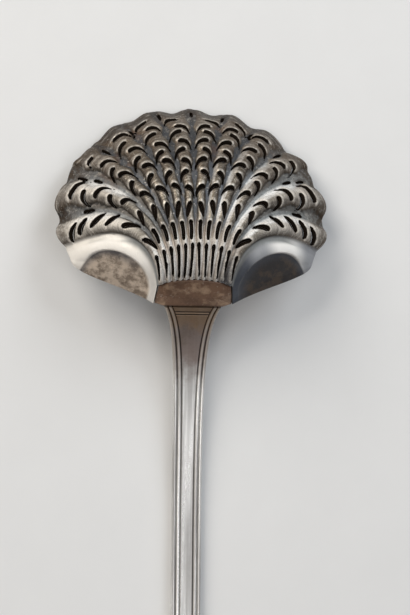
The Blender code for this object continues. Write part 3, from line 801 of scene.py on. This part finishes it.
def ear_colour(tree, place, along, brown):
    """The plain ears: a tan flat on the left and one darkened by painted shade on the right, a painted shadow
    inside the flats' edges, and a painted highlight on the shoulder behind, shaded blue-grey at its ends.
    """
    side = put(tree, "ShaderNodeSeparateXYZ", {0: place}, "X").eased(-6.0 * MM, 6.0 * MM)
    mottle = blotches(place, 300.0, 5.0, 0.65)
    tan_flat = mixed(mottle.eased(0.4, 0.62), EAR_BROWN, EAR_TAN)
    # painted shade darkens the right flat, with a faint mottle
    shaded_right_flat = mixed(mottle.eased(0.45, 0.62), RIGHT_FLAT_SHADE, EAR_UMBER)
    # painted shadow just inside the edge of each ear's flat
    flat_edge_shadow = surface(tree, "flat_edge_shadow") * (most(side, along.eased(0.22, 0.45)) * 0.75)
    flat = mixed(flat_edge_shadow, mixed(side, tan_flat, shaded_right_flat), EAR_BLUE)
    # painted highlight on the shoulder, with painted blue-grey shade at its ends on the right and a cream
    # tint on the left
    highlight_span = along.eased(0.44, 0.62) * along.eased(0.92, 0.74)
    shoulder = layered(
        mixed(brown * 0.15, BRIGHT_SILVER, WARM_SILVER),
        ((1.0 - highlight_span) * (side * 0.85), EAR_STEEL),
        (along.eased(0.4, 0.22) * side, EAR_BLUE),
        ((1.0 - side) * 0.6, CREAM_SILVER),
    )
    seam = most(surface(tree, "shoulder"), (1.0 - side) * 0.85 * along.eased(0.4, 0.6))
    return mixed(surface(tree, "flat"), mixed(seam, EAR_GREY, shoulder), flat)


def bowl_finish():
    """Tarnished silver, black in its low places, with painted highlights on its high places and painted shade
    beside them, each mark as a coat over the last.
    """
    material, tree, shader, place = new_material("tarnished_chased_silver")
    brown, grain = tarnished(place, 0.52)
    names = ("crest", "cut_gap", "rise", "across", "along", "ear")
    crest, gap, rise, across, along, ear = (surface(tree, name) for name in names)
    under = surface(tree, "under").eased(0.0, 0.12)
    y = put(tree, "ShaderNodeSeparateXYZ", {0: place}, "Y")
    out = abs(across)
    worked = put(tree, "ShaderNodeCombineXYZ", {"X": across, "Y": along * 5.0})
    chased = blotches(worked, 7.0, 4.0, 0.7)
    body = (chased - 0.5) * 0.5 + crest

    # Round the cuts: a painted highlight on the raised lip on the rim side, a painted shadow on the other,
    # faint rings farther off
    far_row = along.eased(0.2, 0.42)
    near_cut = rest_of(gap / (1.1 * MM))
    around = rise.eased(0.0, 0.7) * 0.7 * far_row + (1.0 - far_row) * 0.5
    # painted highlight on the raised lip at the rim side of each cut
    lip = near_cut.eased(0.2, 0.75) * around * crest.eased(0.15, 0.6) * chased.eased(0.28, 0.62)
    # painted shadow on the heel side of each cut, below its raised lip
    cut_shadow = near_cut.eased(0.84, 1.0) * rise.eased(0.3, -0.5) * far_row
    ring = maths("SINE", gap * (2.0 * math.pi / WAVE_LENGTH))
    ring = ring.eased(-0.2, 0.9) * gap.eased(2.4 * MM, 0.6 * MM) * far_row * crest.eased(0.2, 0.7)

    # On the ribs: painted highlights on the inner flanks and cream ones on the outer ribs, painted shade on
    # the outer flanks and below each rib, a painted sheen in the valleys toward the sides, and fine file
    # strokes
    outer_rib = out.eased(2.9, 4.5)
    last_rib = out.eased(4.8, 5.1)
    # painted sheen of pale grey in the valleys toward the sides
    sheen = most(outer_rib * 0.45, across.eased(2.2, 4.4)) * chased.eased(0.2, 0.5)
    inner = (chased - 0.5) * 0.3 + surface(tree, "inner")
    lit = most(across.eased(0.4, 1.8), across.eased(-3.2, -4.4) * along.eased(0.48, 0.72))
    reach = most(out.eased(2.8, 3.8) * along.eased(1.0, 0.75), along.eased(0.8, 0.4))
    reach = most(reach, across.eased(1.8, 2.6) * along.eased(0.88, 0.7) * 0.8)
    broad = most(outer_rib, across.eased(1.0, 2.2) * 0.6)
    # painted highlight on the inner flanks of the ribs
    flank_highlight = inner.eased(0.78 - broad * 0.5, 0.98) * lit * reach
    outer_rib = outer_rib * body.eased(0.2, 0.7)
    # painted cream highlight on the crests of the outer ribs
    cream_highlight = outer_rib * (0.9 - across.eased(3.0, 4.0) * 0.3)
    cream_highlight = cream_highlight * most(along.eased(0.56, 0.85), last_rib * along.eased(0.3, 0.62))
    # painted shade on the outer flank of each rib
    shaded = inner.eased(-0.1, -0.8) * crest.eased(0.0, 0.2) * (0.75 - last_rib * 0.45)
    from_valley = maths("FRACT", out)
    # painted shade in the valley just below each outer rib's lower edge
    undercut_shade = from_valley.eased(0.56, 0.8) * from_valley.eased(1.0, 0.9) * out.eased(1.6, 3.0)
    undercut_shade = undercut_shade * along.eased(0.3, 0.5) * along.eased(0.95, 0.7)
    filed = put(tree, "ShaderNodeCombineXYZ", {"X": across * 1.3, "Y": along * 95.0})
    stroke = blotches(filed, 1.0, 3.0, 0.65)
    stroked = crest.eased(0.1, 0.5) * 0.4

    # Toward the rim: brown film, rust stains, worn spots, dirt and a dull last stretch
    film = y.eased(68.0 * MM, 104.0 * MM) * 0.5 * crest.eased(0.0, 0.5)
    worn = along.eased(0.7, 0.95) * chased.eased(0.5, 0.68)
    dirt = along.eased(0.84, 1.0) * chased.eased(0.62, 0.42)
    stain = blotches(place, 150.0, 4.0, 0.6).eased(0.54, 0.68) * y.eased(70.0 * MM, 92.0 * MM)
    browned = brown * (along.eased(0.4, 1.0) * 0.35 + 0.3) * crest.eased(0.0, 0.5)
    browned = browned * (1.0 - outer_rib * 0.8)
    dull = along.eased(0.88, 0.97) * 0.65 * (out.eased(3.4, 2.4) * 0.3 + 0.7)

    # At the heel: painted highlights on the bars between the slots with painted shade on one side, brown
    # along the plate
    # painted highlight on the bars between the heel slots
    heel_bar_highlight = most(crest.eased(0.0, 0.4), along.eased(0.22, 0.12) * 0.8)
    heel_bar_highlight = along.eased(0.32, 0.18) * heel_bar_highlight * across.eased(5.2, 3.6)
    # painted shade on one side of each heel bar
    bar_side = maths("FRACT", across + 0.5) - 0.5
    bar_shade = bar_side.eased(-0.02, 0.16) * along.eased(0.34, 0.22) * chased.eased(0.3, 0.5)
    by_plate = along.eased(0.075, 0.0) * grain.eased(0.32, 0.2)
    dusky = across.eased(3.4, 4.6) * along.eased(0.2, 0.08)

    valley = layered(
        mixed(along.eased(0.4, 0.8) * 0.2, VALLEY_GREY, BLACK_TARNISH_AND_SHADE),
        (chased.eased(0.5, 0.75) * 0.6, RIB_BROWN),
        (sheen, EAR_GREY),
        (along.eased(0.3, 0.16) * 0.85, EAR_TAN),
    )
    colour = layered(
        mixed(body.eased(0.05, 0.35), valley, RIB_BROWN),
        (cream_highlight, CREAM_SILVER),
        (shaded, RIB_SHADE),
        (undercut_shade * 0.75, RIB_SHADE),
        (flank_highlight * 0.95, BRIGHT_SILVER),
        (film, BROWN_TARNISH),
        (worn * 0.4, WARM_SILVER),
        (dirt * 0.85, BROWN_TARNISH),
        (stain * 0.35, RUST),
        (ring * 0.22, WARM_SILVER),
        (browned, BROWN_TARNISH),
        (dull, BLACK_TARNISH_AND_SHADE),
        (cut_shadow * 0.88, BLACK_TARNISH_AND_SHADE),
        (heel_bar_highlight * 0.95, BRIGHT_SILVER),
        (bar_shade * 0.75, EAR_BROWN),
        (by_plate * 0.6, BROWN_TARNISH),
        (dusky * 0.75, EAR_BLUE),
        (stroked * stroke.eased(0.48, 0.36), RIB_SHADE),
        (stroked * stroke.eased(0.54, 0.68), WARM_SILVER),
        (lip, CREAM_SILVER),
        (blotches(place, 2200.0, 3.0, 0.7).eased(0.45, 0.7) * 0.36, BLACK_TARNISH_AND_SHADE),
        (blotches(place, 1500.0, 2.0, 0.6).eased(0.63, 0.72) * 0.4, WARM_SILVER),
        (ear, ear_colour(tree, place, along, brown)),
        # the cut walls are painted near black, dark tarnish together with painted shade; farther from the
        # cuts the underside is dark grey
        (under, mixed(gap.eased(0.3 * MM, 1.2 * MM), CUT_BLACK, HOLLOW_GREY)),
    )
    bright = most(flank_highlight, most(heel_bar_highlight, outer_rib * 0.6))
    dimmed = brown * 0.25 + bright + ear * 0.42 + surface(tree, "flat") * 0.2 + under
    inputs = {
        "Base Color": colour,
        "Roughness": most(brown * 0.12 + 0.4 + ear * 0.1, under * 0.7),
        "Metallic": rest_of(dimmed),
        "Specular IOR Level": 0.5 - under * 0.5,
        "Normal": bumped(grain + chased * 0.9 * (1.0 - ear), 0.6, 0.2 * MM),
    }
    feed(shader, inputs)
    return material


bowl_silver = bowl_finish()
stroke_places, strokes, half_width = saw_strokes(bowl_silver)
sheet, sheet_faces = opened_sheet(strokes, half_width)
across, along, cut_gap, rise = sheet.T
plan = plan_points(across, along)
outward = dome_normal(plan)
past_ribs = np.abs(across) - RIB_PAIRS
reach, flat_height = ear_flat(plan)
flat = (1.0 - smooth_step(reach, 0.94, 1.03)) * (past_ribs > 0.0)
dome = dome_height(plan)
top = np.column_stack([plan, dome + flat * np.minimum(flat_height - dome, 0.0)])
rim_gap = np.minimum((1.0 - along) * BLANK_LENGTH, np.where(past_ribs > 0.0, to_near_rim(plan)[0], 1.0))
edge_gap = np.minimum(cut_gap, rim_gap)
turn = np.array(Matrix.Rotation(-BOWL_TILT, 3, "X"))
inner = top - SHEET * outward
below = sheet[:, :2].copy()
cut_edge = cut_gap == 0.0
nearest = nearest_stroke(top[cut_edge], strokes)
inner[cut_edge] += CUT_LEAN * (strokes[nearest] - top[cut_edge])
below[cut_edge] += CUT_LEAN * (stroke_places[nearest] - below[cut_edge])
raised = np.concatenate([top, inner])
raised[:, :2] += np.tile(rim_shift(across, along, plan), (2, 1))
bowl_mesh = two_faced("bowl_sheet", raised @ turn.T, sheet_faces, outward @ turn.T, edge_gap)
give(bowl_mesh, "across", np.concatenate([across, below[:, 0]]))
give(bowl_mesh, "along", np.concatenate([along, below[:, 1]]))
give(bowl_mesh, "sway", np.concatenate([rib_sway(across, along), rib_sway(*below.T)]))
for name, values in (
    ("cut_gap", cut_gap),
    ("rise", rise),
    ("inner", np.sin(2.0 * math.pi * (np.abs(across) + 0.01))),
    ("ear", smooth_step(past_ribs, -0.17, -0.05)),
    ("shoulder", np.maximum(smooth_step(past_ribs, 0.0, 0.14), smooth_step(along, 0.66, 0.85))),
    ("flat", flat),
    ("flat_edge_shadow", smooth_step(reach, 0.66, 0.97) * flat),
):
    give(bowl_mesh, name, np.tile(values, 2))
chased = run_tree(relief_tree(bowl_silver), bowl_mesh, CHASING)
seat = seat_of_bowl(corners(chased))
chased.transform(Matrix.Translation(seat))
bowl = add_piece("bowl_sheet", chased)
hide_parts("bowl")
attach(bowl, "root")

# Heel plate
# A plain plate of the same sheet closes the bowl's heel between the two ears, soldered in along three sides.
# It was left as the hammer left it and has gone brown in blotches.
SEAM = 0.3 * MM
PLATE_COLUMNS = 84
PLATE_ROWS = 30
PLATE_BROWN = (0.26, 0.15, 0.094, 1.0)
PLATE_TAN = (0.48, 0.32, 0.21, 1.0)
PLATE_DARK = (0.1, 0.054, 0.034, 1.0)
PLANISHING = {"Edge Drop": 0.25 * MM, "Edge Width": 0.6 * MM, "Hammer Depth": 0.3 * MM}


def plate_finish():
    material, tree, shader, place = new_material("brown_hammered_silver")
    brown, grain = tarnished(place, 0.5)
    cloud = blotches(place, 260.0, 5.0, 0.62)
    fleck = blotches(place, 900.0, 3.0, 0.7).eased(0.6, 0.72)
    edge = surface(tree, "edge_gap").eased(0.75 * MM, 0.1 * MM)
    colour = layered(
        mixed(cloud.eased(0.47, 0.62), PLATE_BROWN, PLATE_TAN),
        (brown * 0.55, PLATE_DARK),
        (fleck * 0.35, EAR_TAN),
        (edge * 0.6, PLATE_DARK),
    )
    normal = bumped(grain, 0.4, 0.12 * MM)
    feed(shader, {"Base Color": colour, "Roughness": cloud * 0.2 + 0.32, "Metallic": 0.4, "Normal": normal})
    return material


def plate_tree(finish):
    """Rounds the plate's edges over and leaves shallow hammer marks in its face."""
    tree, given = geometry_tree("planishing", PLANISHING)
    edge = rest_of(named(tree, "edge_gap") / given["Edge Width"])
    dents = dented(tree, 240.0, 1.0, given["Hammer Depth"])
    total = (dents - edge * edge * given["Edge Drop"]) * (1.0 - named(tree, "under") * 2.0)
    return closed(pushed(given["Geometry"], total), finish)


columns = np.linspace(-1.0, 1.0, PLATE_COLUMNS + 1)
rows = np.linspace(0.0, 1.0, PLATE_ROWS + 1)
plate_top = heel_line(columns * RIB_PAIRS) - np.array([0.0, SEAM])
plate_top[:, 0] -= columns * SEAM
foot_x = columns * (FOOT_WIDTH / 2.0 - SEAM)
plate_foot = np.column_stack([foot_x, heel_foot(foot_x)])
plan = np.concatenate([part_way(plate_foot, plate_top, row) for row in rows])
outward = dome_normal(plan)
top = np.column_stack([plan, dome_height(plan)])
plate_faces = cells(PLATE_ROWS, PLATE_COLUMNS)
raised = np.concatenate([top, top - SHEET * outward]) @ turn.T + seat
along_plate = np.repeat(rows, PLATE_COLUMNS + 1)
across_plate = np.tile(np.abs(columns), PLATE_ROWS + 1)
edge_gap = np.minimum(
    (1.0 - across_plate) * HEEL_WIDTH / 2.0,
    np.minimum(along_plate, 1.0 - along_plate) * HEEL_REACH[0] * 1.4,
)
plate_mesh = two_faced("heel_plate_sheet", raised, plate_faces, outward @ turn.T, edge_gap)
plate_silver = plate_finish()
plate = add_piece("heel_plate_sheet", run_tree(plate_tree(plate_silver), plate_mesh, PLANISHING))
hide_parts("heel_plate")
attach(plate, "root")

# Stem
# A forged and filed bar of silver, wide where it is soldered to the heel plate and at the spatula end.
# Two reeds run along each edge on both faces with a flat panel between, which a cross bar closes at the neck.
STEM_WIDTH = 7.9 * MM
NECK_FLARE = 9.0 * MM
NECK_SLOPE = math.radians(42.0)
NECK_UP = np.array([-math.sin(NECK_SLOPE), math.cos(NECK_SLOPE)])
NECK_ARM = 12.0 * MM
NECK_THICKNESS = 2.8 * MM
STEM_THICKNESS = 3.2 * MM
TIP_THICKNESS = 1.8 * MM
REST_START = 60.0 * MM
REST_LENGTH = 22.0 * MM
HANDLE_LENGTH = 156.0 * MM
TIP_RISE = 7.0 * MM
TIP_SLOPE = math.radians(9.0)
BEND_ARM = 28.0 * MM
SPATULA_LENGTH = 58.0 * MM
SPATULA_WIDTH = 21.5 * MM
TIP_LENGTH = 13.0 * MM
JOINT_GAP = 0.3 * MM
REED_STEP = 0.08 * MM
REED_STEPS = 32
PANEL_STEPS = 5
NECK_END = 3.2 * MM
CROSS_LINE_WIDTH = 0.42 * MM
PANEL_RAMP = 0.25 * MM
EDGE_WIDTH = 0.45 * MM
REEDING = {
    "Outer Reed": 1.0 * MM,
    "Inner Reed": 1.25 * MM,
    "Groove Depth": 0.35 * MM,
    "Panel Depth": 0.08 * MM,
    "Edge Round": 0.6 * MM,
    "Cross Bar": 1.65 * MM,
    "Cross Line": 2.5 * MM,
}
STEM_SILVER = (0.8, 0.79, 0.77, 1.0)
STEM_DULL = (0.5, 0.485, 0.47, 1.0)
NECK_BROWN = (0.279, 0.176, 0.102, 1.0)
NECK_MAUVE = (0.226, 0.172, 0.152, 1.0)


def stem_path(foot_height):
    """Samples of the stem's middle line from the joint to the tip: run, point, slope and run at the rest."""
    away = np.array([-math.cos(NECK_SLOPE), -math.sin(NECK_SLOPE)])
    start = np.array([0.0, foot_height]) + JOINT_GAP * away - NECK_THICKNESS / 2.0 * NECK_UP
    rest = np.array([-REST_START, STEM_THICKNESS / 2.0])
    lift = np.array([-REST_START - REST_LENGTH, STEM_THICKNESS / 2.0])
    tip = np.array([-HANDLE_LENGTH, STEM_THICKNESS / 2.0 + TIP_RISE])
    level = np.array([-1.0, 0.0])
    rising = np.array([-math.cos(TIP_SLOPE), math.sin(TIP_SLOPE)])
    share = np.linspace(0.0, 1.0, 160)[:, None]
    neck = cubic(start, start + NECK_ARM * away, rest - BEND_ARM * level, rest, share)
    handle = cubic(lift, lift + BEND_ARM * level, tip - BEND_ARM * rising, tip, share)
    points = np.concatenate([neck, handle])
    run = np.concatenate([[0.0], np.cumsum(np.linalg.norm(np.diff(points, axis=0), axis=1))])
    heading = np.gradient(points, run, axis=0)
    heading[0] = away
    heading[len(neck) - 1 : len(neck) + 1] = level
    heading[-1] = rising
    return run, points, np.arctan2(heading[:, 1], -heading[:, 0]), run[len(neck) - 1]


def stem_half_width(run, length):
    flare = (NECK_WIDTH - STEM_WIDTH) * np.exp(-run / NECK_FLARE)
    spread = smooth_step(run, length - SPATULA_LENGTH, length - TIP_LENGTH)
    return (flare + part_way(STEM_WIDTH, SPATULA_WIDTH, spread)) / 2.0


def stem_blank(foot_height):
    """The plain bar as a grid on both faces: points, faces, and each point's inset, run and outward way."""
    runs, points, slopes, rest_run = stem_path(foot_height)
    length = runs[-1]
    stations = np.concatenate(
        [
            np.linspace(0.0, NECK_END, 28),
            np.linspace(NECK_END, rest_run, 90)[1:],
            np.linspace(rest_run, rest_run + REST_LENGTH, 30)[1:],
            np.linspace(rest_run + REST_LENGTH, length - TIP_LENGTH, 60)[1:],
            length - TIP_LENGTH + TIP_LENGTH * np.sin(np.linspace(0.0, math.pi / 2.0, 40)[1:]),
        ]
    )
    half = stem_half_width(stations, length)
    into_tip = np.clip((stations - (length - TIP_LENGTH)) / TIP_LENGTH, 0.0, 1.0)
    half = half * np.sqrt(np.clip(1.0 - into_tip**2, 0.0, 1.0))
    inward_run = np.where(into_tip > 0.0, np.gradient(half, stations), 0.0)
    inward_run[-1] = -1.0
    inward_side = np.where(into_tip < 1.0, -1.0, 0.0)
    norm = np.hypot(inward_run, inward_side)
    inset = np.arange(REED_STEPS + 1) * REED_STEP
    panel = np.linspace(0.0, 1.0, PANEL_STEPS + 1)[1:]
    inset = np.concatenate([inset, np.full(PANEL_STEPS, inset[-1])])[:, None]
    narrowing = np.concatenate([np.ones(REED_STEPS + 1), 1.0 - panel])[:, None]
    run = stations + inset * inward_run / norm
    x = np.maximum(half + inset * inward_side / norm, 0.0) * narrowing
    x[:, -1] = 0.0
    deep = inset + (1.0 - narrowing) * 2.0 * MM
    x = np.concatenate([x, -x[-2::-1]])
    run = np.concatenate([run, run[-2::-1]])
    deep = np.repeat(np.concatenate([deep, deep[-2::-1]]), len(stations), axis=1)
    slope = np.interp(run, runs, slopes)
    bends = [0.0, rest_run, rest_run + REST_LENGTH, length]
    thick = np.interp(run, bends, [NECK_THICKNESS, STEM_THICKNESS, STEM_THICKNESS, TIP_THICKNESS])
    vertices = []
    ways = []
    for face in (1.0, -1.0):
        height = face * thick / 2.0
        y = np.interp(run, runs, points[:, 0]) + height * np.sin(slope)
        z = np.interp(run, runs, points[:, 1]) + height * np.cos(slope)
        vertices.append(np.stack([x, y, z], axis=-1).reshape(-1, 3))
        way = np.stack([np.zeros_like(run), face * np.sin(slope), face * np.cos(slope)], axis=-1)
        ways.append(way.reshape(-1, 3))
    lines, steps = x.shape
    size = lines * steps
    faces = []
    for k in range(steps - 1):
        for i in range(lines - 1):
            a = i * steps + k
            faces.append((a, a + 1, a + steps + 1, a + steps))
            faces.append((size + a, size + a + steps, size + a + steps + 1, size + a + 1))
        last = (lines - 1) * steps + k
        faces.append((k, size + k, size + k + 1, k + 1))
        faces.append((last, last + 1, size + last + 1, size + last))
    for i in range(lines - 1):
        a = i * steps
        faces.append((a, a + steps, size + a + steps, size + a))
    values = (np.tile(deep.ravel(), 2), np.tile(run.ravel(), 2), np.concatenate(ways))
    return np.concatenate(vertices), faces, values


def reeding_tree(finish):
    """Files the reeds, the panel and the cross bar into the plain bar and rounds its edge."""
    tree, given = geometry_tree("reeding", REEDING)
    inset = named(tree, "inset")
    run = named(tree, "run")
    depth = given["Groove Depth"]

    def reed(start, width):
        half = width * 0.5
        return abs((inset - (half + start)) / half) ** 2.4 * depth

    def line(at):
        return rest_of(abs(run - at) / CROSS_LINE_WIDTH) * depth

    both = given["Outer Reed"] + given["Inner Reed"]
    side = least(reed(0.0, given["Outer Reed"]), reed(given["Outer Reed"], given["Inner Reed"]))
    panel = most((1.0 - (inset - both) / PANEL_RAMP) * depth, given["Panel Depth"])
    panel = most(panel, most(line(given["Cross Bar"]), line(given["Cross Line"])))
    hollow = least(side, panel)
    edge = rest_of(inset / EDGE_WIDTH)
    moved = pushed(given["Geometry"], most(hollow, edge * edge * given["Edge Round"]) * -1.0)
    grooved = hollow / depth * maths("GREATER_THAN", inset, 0.5 * MM)
    return closed(stored(moved, "hollow", grooved), finish)


def stem_finish():
    material, tree, shader, place = new_material("worn_bright_silver")
    brown, grain = tarnished(place, 0.42)
    hollow = surface(tree, "hollow")
    drawn = put(tree, "ShaderNodeMapping", {"Vector": place, "Scale": (700.0, 26.0, 60.0)})
    streak = blotches(drawn, 1.0, 3.0, 0.55)
    drift = (blotches(place, 330.0, 5.0, 0.6) - 0.5) * (12.0 * MM) + surface(tree, "run")
    neck = drift.eased(24.0 * MM, 14.0 * MM)
    # painted highlight on the crests of the reeds in the brown neck
    reeds = surface(tree, "inset").eased(2.5 * MM, 2.1 * MM) * hollow.eased(0.3, 0.0)
    toned = layered(
        mixed(drift.eased(9.0 * MM, 4.0 * MM), NECK_MAUVE, NECK_BROWN),
        (brown * 0.45, BROWN_TARNISH),
        (reeds * 0.4, WARM_SILVER),
    )
    colour = layered(
        mixed(streak.eased(0.38, 0.66), STEM_SILVER, STEM_DULL),
        (neck * 0.92, toned),
        (brown * 0.12, BROWN_TARNISH),
        (hollow.eased(0.3, 0.75) * (neck * 0.3 + 0.6), BLACK_TARNISH_AND_SHADE),
    )
    inputs = {
        "Base Color": colour,
        "Roughness": streak * 0.18 + 0.2 + neck * 0.1,
        "Metallic": 0.8 - neck * 0.25,
        "Normal": bumped(grain, 0.22, 0.1 * MM),
    }
    feed(shader, inputs)
    return material


points, stem_faces, (inset, run, outward) = stem_blank(seat[2])
stem_mesh = new_mesh("stem_bar", points + np.array([0.0, seat[1], 0.0]), stem_faces)
give(stem_mesh, "inset", inset)
give(stem_mesh, "run", run)
give(stem_mesh, "outward", outward, "FLOAT_VECTOR")
shape = bmesh.new()
shape.from_mesh(stem_mesh)
bmesh.ops.remove_doubles(shape, verts=shape.verts, dist=0.001 * MM)
shape.to_mesh(stem_mesh)
shape.free()
stem_silver = stem_finish()
stem = add_piece("stem_bar", run_tree(reeding_tree(stem_silver), stem_mesh, REEDING))
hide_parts("stem")
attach(stem, "root")

# Solder
# A run of hard solder fills the corner under the plate where the stem's end meets it.
# It was fed in by hand, so its face is hollow and a little lumpy, and it has dulled to grey.
FILLET_LEG = 1.6 * MM
FILLET_INSET = 1.0 * MM
FILLET_COLUMNS = 90
FILLET_ROWS = 10
SOLDER_GREY = (0.42, 0.41, 0.38, 1.0)


def solder_finish():
    material, tree, shader, place = new_material("dull_hard_solder")
    brown, grain = tarnished(place, 0.5)
    colour = mixed(brown * 0.5, SOLDER_GREY, BROWN_TARNISH)
    normal = bumped(grain, 0.4, 0.1 * MM)
    feed(shader, {"Base Color": colour, "Roughness": brown * 0.15 + 0.4, "Metallic": 1.0, "Normal": normal})
    return material


def solder_run(foot_height):
    """The run's section swept across the neck: two flat sides in the corner and a hollow, lumpy face."""
    foot = np.array([0.0, foot_height])
    normal = dome_normal(np.array([[0.0, 0.1 * MM]]))[0]
    plate_slope = math.atan2(-normal[1], normal[2]) - BOWL_TILT
    plate_up = np.array([math.cos(plate_slope), math.sin(plate_slope)])
    plate_out = np.array([-math.sin(plate_slope), math.cos(plate_slope)])
    inner = foot - (SHEET + JOINT_GAP) * plate_out
    low = foot - (NECK_THICKNESS - JOINT_GAP / 2.0) * NECK_UP
    tip = inner + FILLET_LEG * plate_up
    share = np.linspace(0.0, 1.0, FILLET_ROWS + 1)[:, None]
    bow = (1.0 - share) * tip + share * low + 0.6 * share * (1.0 - share) * (2.0 * inner - tip - low)
    half = NECK_WIDTH / 2.0 - FILLET_INSET
    x = np.linspace(-half, half, FILLET_COLUMNS + 1)
    lump = 1.0 + 0.25 * np.sin(1900.0 * x) * np.sin(1100.0 * x + 1.0)
    sections = []
    for place, size in zip(x, lump):
        face = inner + (bow - inner) * (1.0 - 0.12 * size)
        face[0] = tip
        face[-1] = low
        loop = np.concatenate([[inner], face])
        sections.append(np.column_stack([np.full(len(loop), place), loop]))
    ring = FILLET_ROWS + 2
    faces = [tuple(range(ring))]
    for k in range(FILLET_COLUMNS):
        for i in range(ring):
            a = k * ring + i
            b = k * ring + (i + 1) % ring
            faces.append((a, a + ring, b + ring, b))
    faces.append(tuple(FILLET_COLUMNS * ring + i for i in reversed(range(ring))))
    return np.concatenate(sections), faces


points, solder_faces = solder_run(seat[2])
solder_mesh = new_mesh("solder_run", points + np.array([0.0, seat[1], 0.0]), solder_faces)
shape = bmesh.new()
shape.from_mesh(solder_mesh)
bmesh.ops.recalc_face_normals(shape, faces=shape.faces)
shape.to_mesh(solder_mesh)
shape.free()
solder_mesh.materials.append(solder_finish())
solder = add_piece("solder_run", solder_mesh)
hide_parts("solder_fillet")
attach(solder, "root")

# Table top, lamps and camera
# A plain pale table under five soft square lamps: a warm and a cool one low behind the bowl, two high in
# front of it and a weak one over the stem. The camera looks down from the handle's side, a little from the
# left, as in the photograph.
FLOOR_REACH = 3.0
FLOOR_PAINTS = ((0.74, 0.74, 0.74, 1.0), (0.78, 0.78, 0.78, 1.0))
LAMP_AIM = Vector((0.0, 0.06, 0.0))
ROOM_GREY = (0.1, 0.1, 0.105, 1.0)
floor_corners = [(x * FLOOR_REACH, y * FLOOR_REACH, 0.0) for x, y in ((-1, -1), (1, -1), (1, 1), (-1, 1))]
floor_mesh = new_mesh("table_top", floor_corners, [(0, 1, 2, 3)])
floor = shown("table_top", floor_mesh)
floor_paint, tree, shader, place = new_material("pale_table")
feed(shader, {"Base Color": mixed(blotches(place, 60.0, 4.0, 0.6), *FLOOR_PAINTS), "Roughness": 0.8})
floor_mesh.materials.append(floor_paint)

for name, bearing, rise, away, size, brightness, tint in (
    ("far left", 132.0, 36.0, 1.0, 0.6, 6.4, (1.0, 0.955, 0.88)),
    ("far right", 50.0, 36.0, 1.0, 0.5, 5.4, (0.9, 0.955, 1.0)),
    ("front left", 215.0, 62.0, 1.0, 0.45, 2.6, (1.0, 0.96, 0.9)),
    ("front right", 325.0, 62.0, 1.0, 0.45, 2.2, (0.97, 0.98, 1.0)),
    ("over the stem", 268.0, 80.0, 1.2, 0.5, 0.38, (1.0, 1.0, 1.0)),
):
    level = math.cos(math.radians(rise))
    bearing = math.radians(bearing)
    way = Vector((level * math.cos(bearing), level * math.sin(bearing), math.sin(math.radians(rise))))
    lamp = bpy.data.lights.new(name, "AREA")
    lamp.energy = brightness * math.pi * size**2
    lamp.size = size
    lamp.color = tint
    holder = shown(name, lamp)
    holder.location = LAMP_AIM + away * way
    holder.rotation_euler = (-way).to_track_quat("-Z", "Y").to_euler()

world = bpy.data.worlds.new("room")
world.use_nodes = True
world.node_tree.nodes["Background"].inputs["Color"].default_value = ROOM_GREY
bpy.context.scene.world = world
bpy.context.scene.view_settings.view_transform = "Standard"

ELEVATION = math.radians(84.0)
ASIDE = math.radians(5.6)
ROLL = math.radians(0.5)
DISTANCE = 0.55
PIXELS_PER_METRE = 3690.0
IMAGE = (410.0, 615.0)
BOWL_IN_IMAGE = (192.5, 203.0)
low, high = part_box("bowl")
back = Vector(
    (-math.sin(ASIDE), -math.cos(ELEVATION) * math.cos(ASIDE), math.sin(ELEVATION) * math.cos(ASIDE))
)
right = Vector((math.cos(ASIDE), 0.0, math.sin(ASIDE))).normalized()
up = back.cross(right)
axes = (
    right * math.cos(ROLL) + up * math.sin(ROLL),
    up * math.cos(ROLL) - right * math.sin(ROLL),
    back,
)
lens = bpy.data.cameras.new("camera")
lens.sensor_fit = "HORIZONTAL"
lens.sensor_width = 36.0
lens.lens = PIXELS_PER_METRE * DISTANCE * lens.sensor_width / IMAGE[0]
lens.shift_x = (IMAGE[0] / 2.0 - BOWL_IN_IMAGE[0]) / IMAGE[0]
lens.shift_y = (BOWL_IN_IMAGE[1] - IMAGE[1] / 2.0) / IMAGE[0]
camera = shown("camera", lens)
stand = Matrix(axes).transposed().to_4x4()
stand.translation = (low + high) / 2.0 + back * DISTANCE
camera.matrix_world = stand
bpy.context.scene.camera = camera
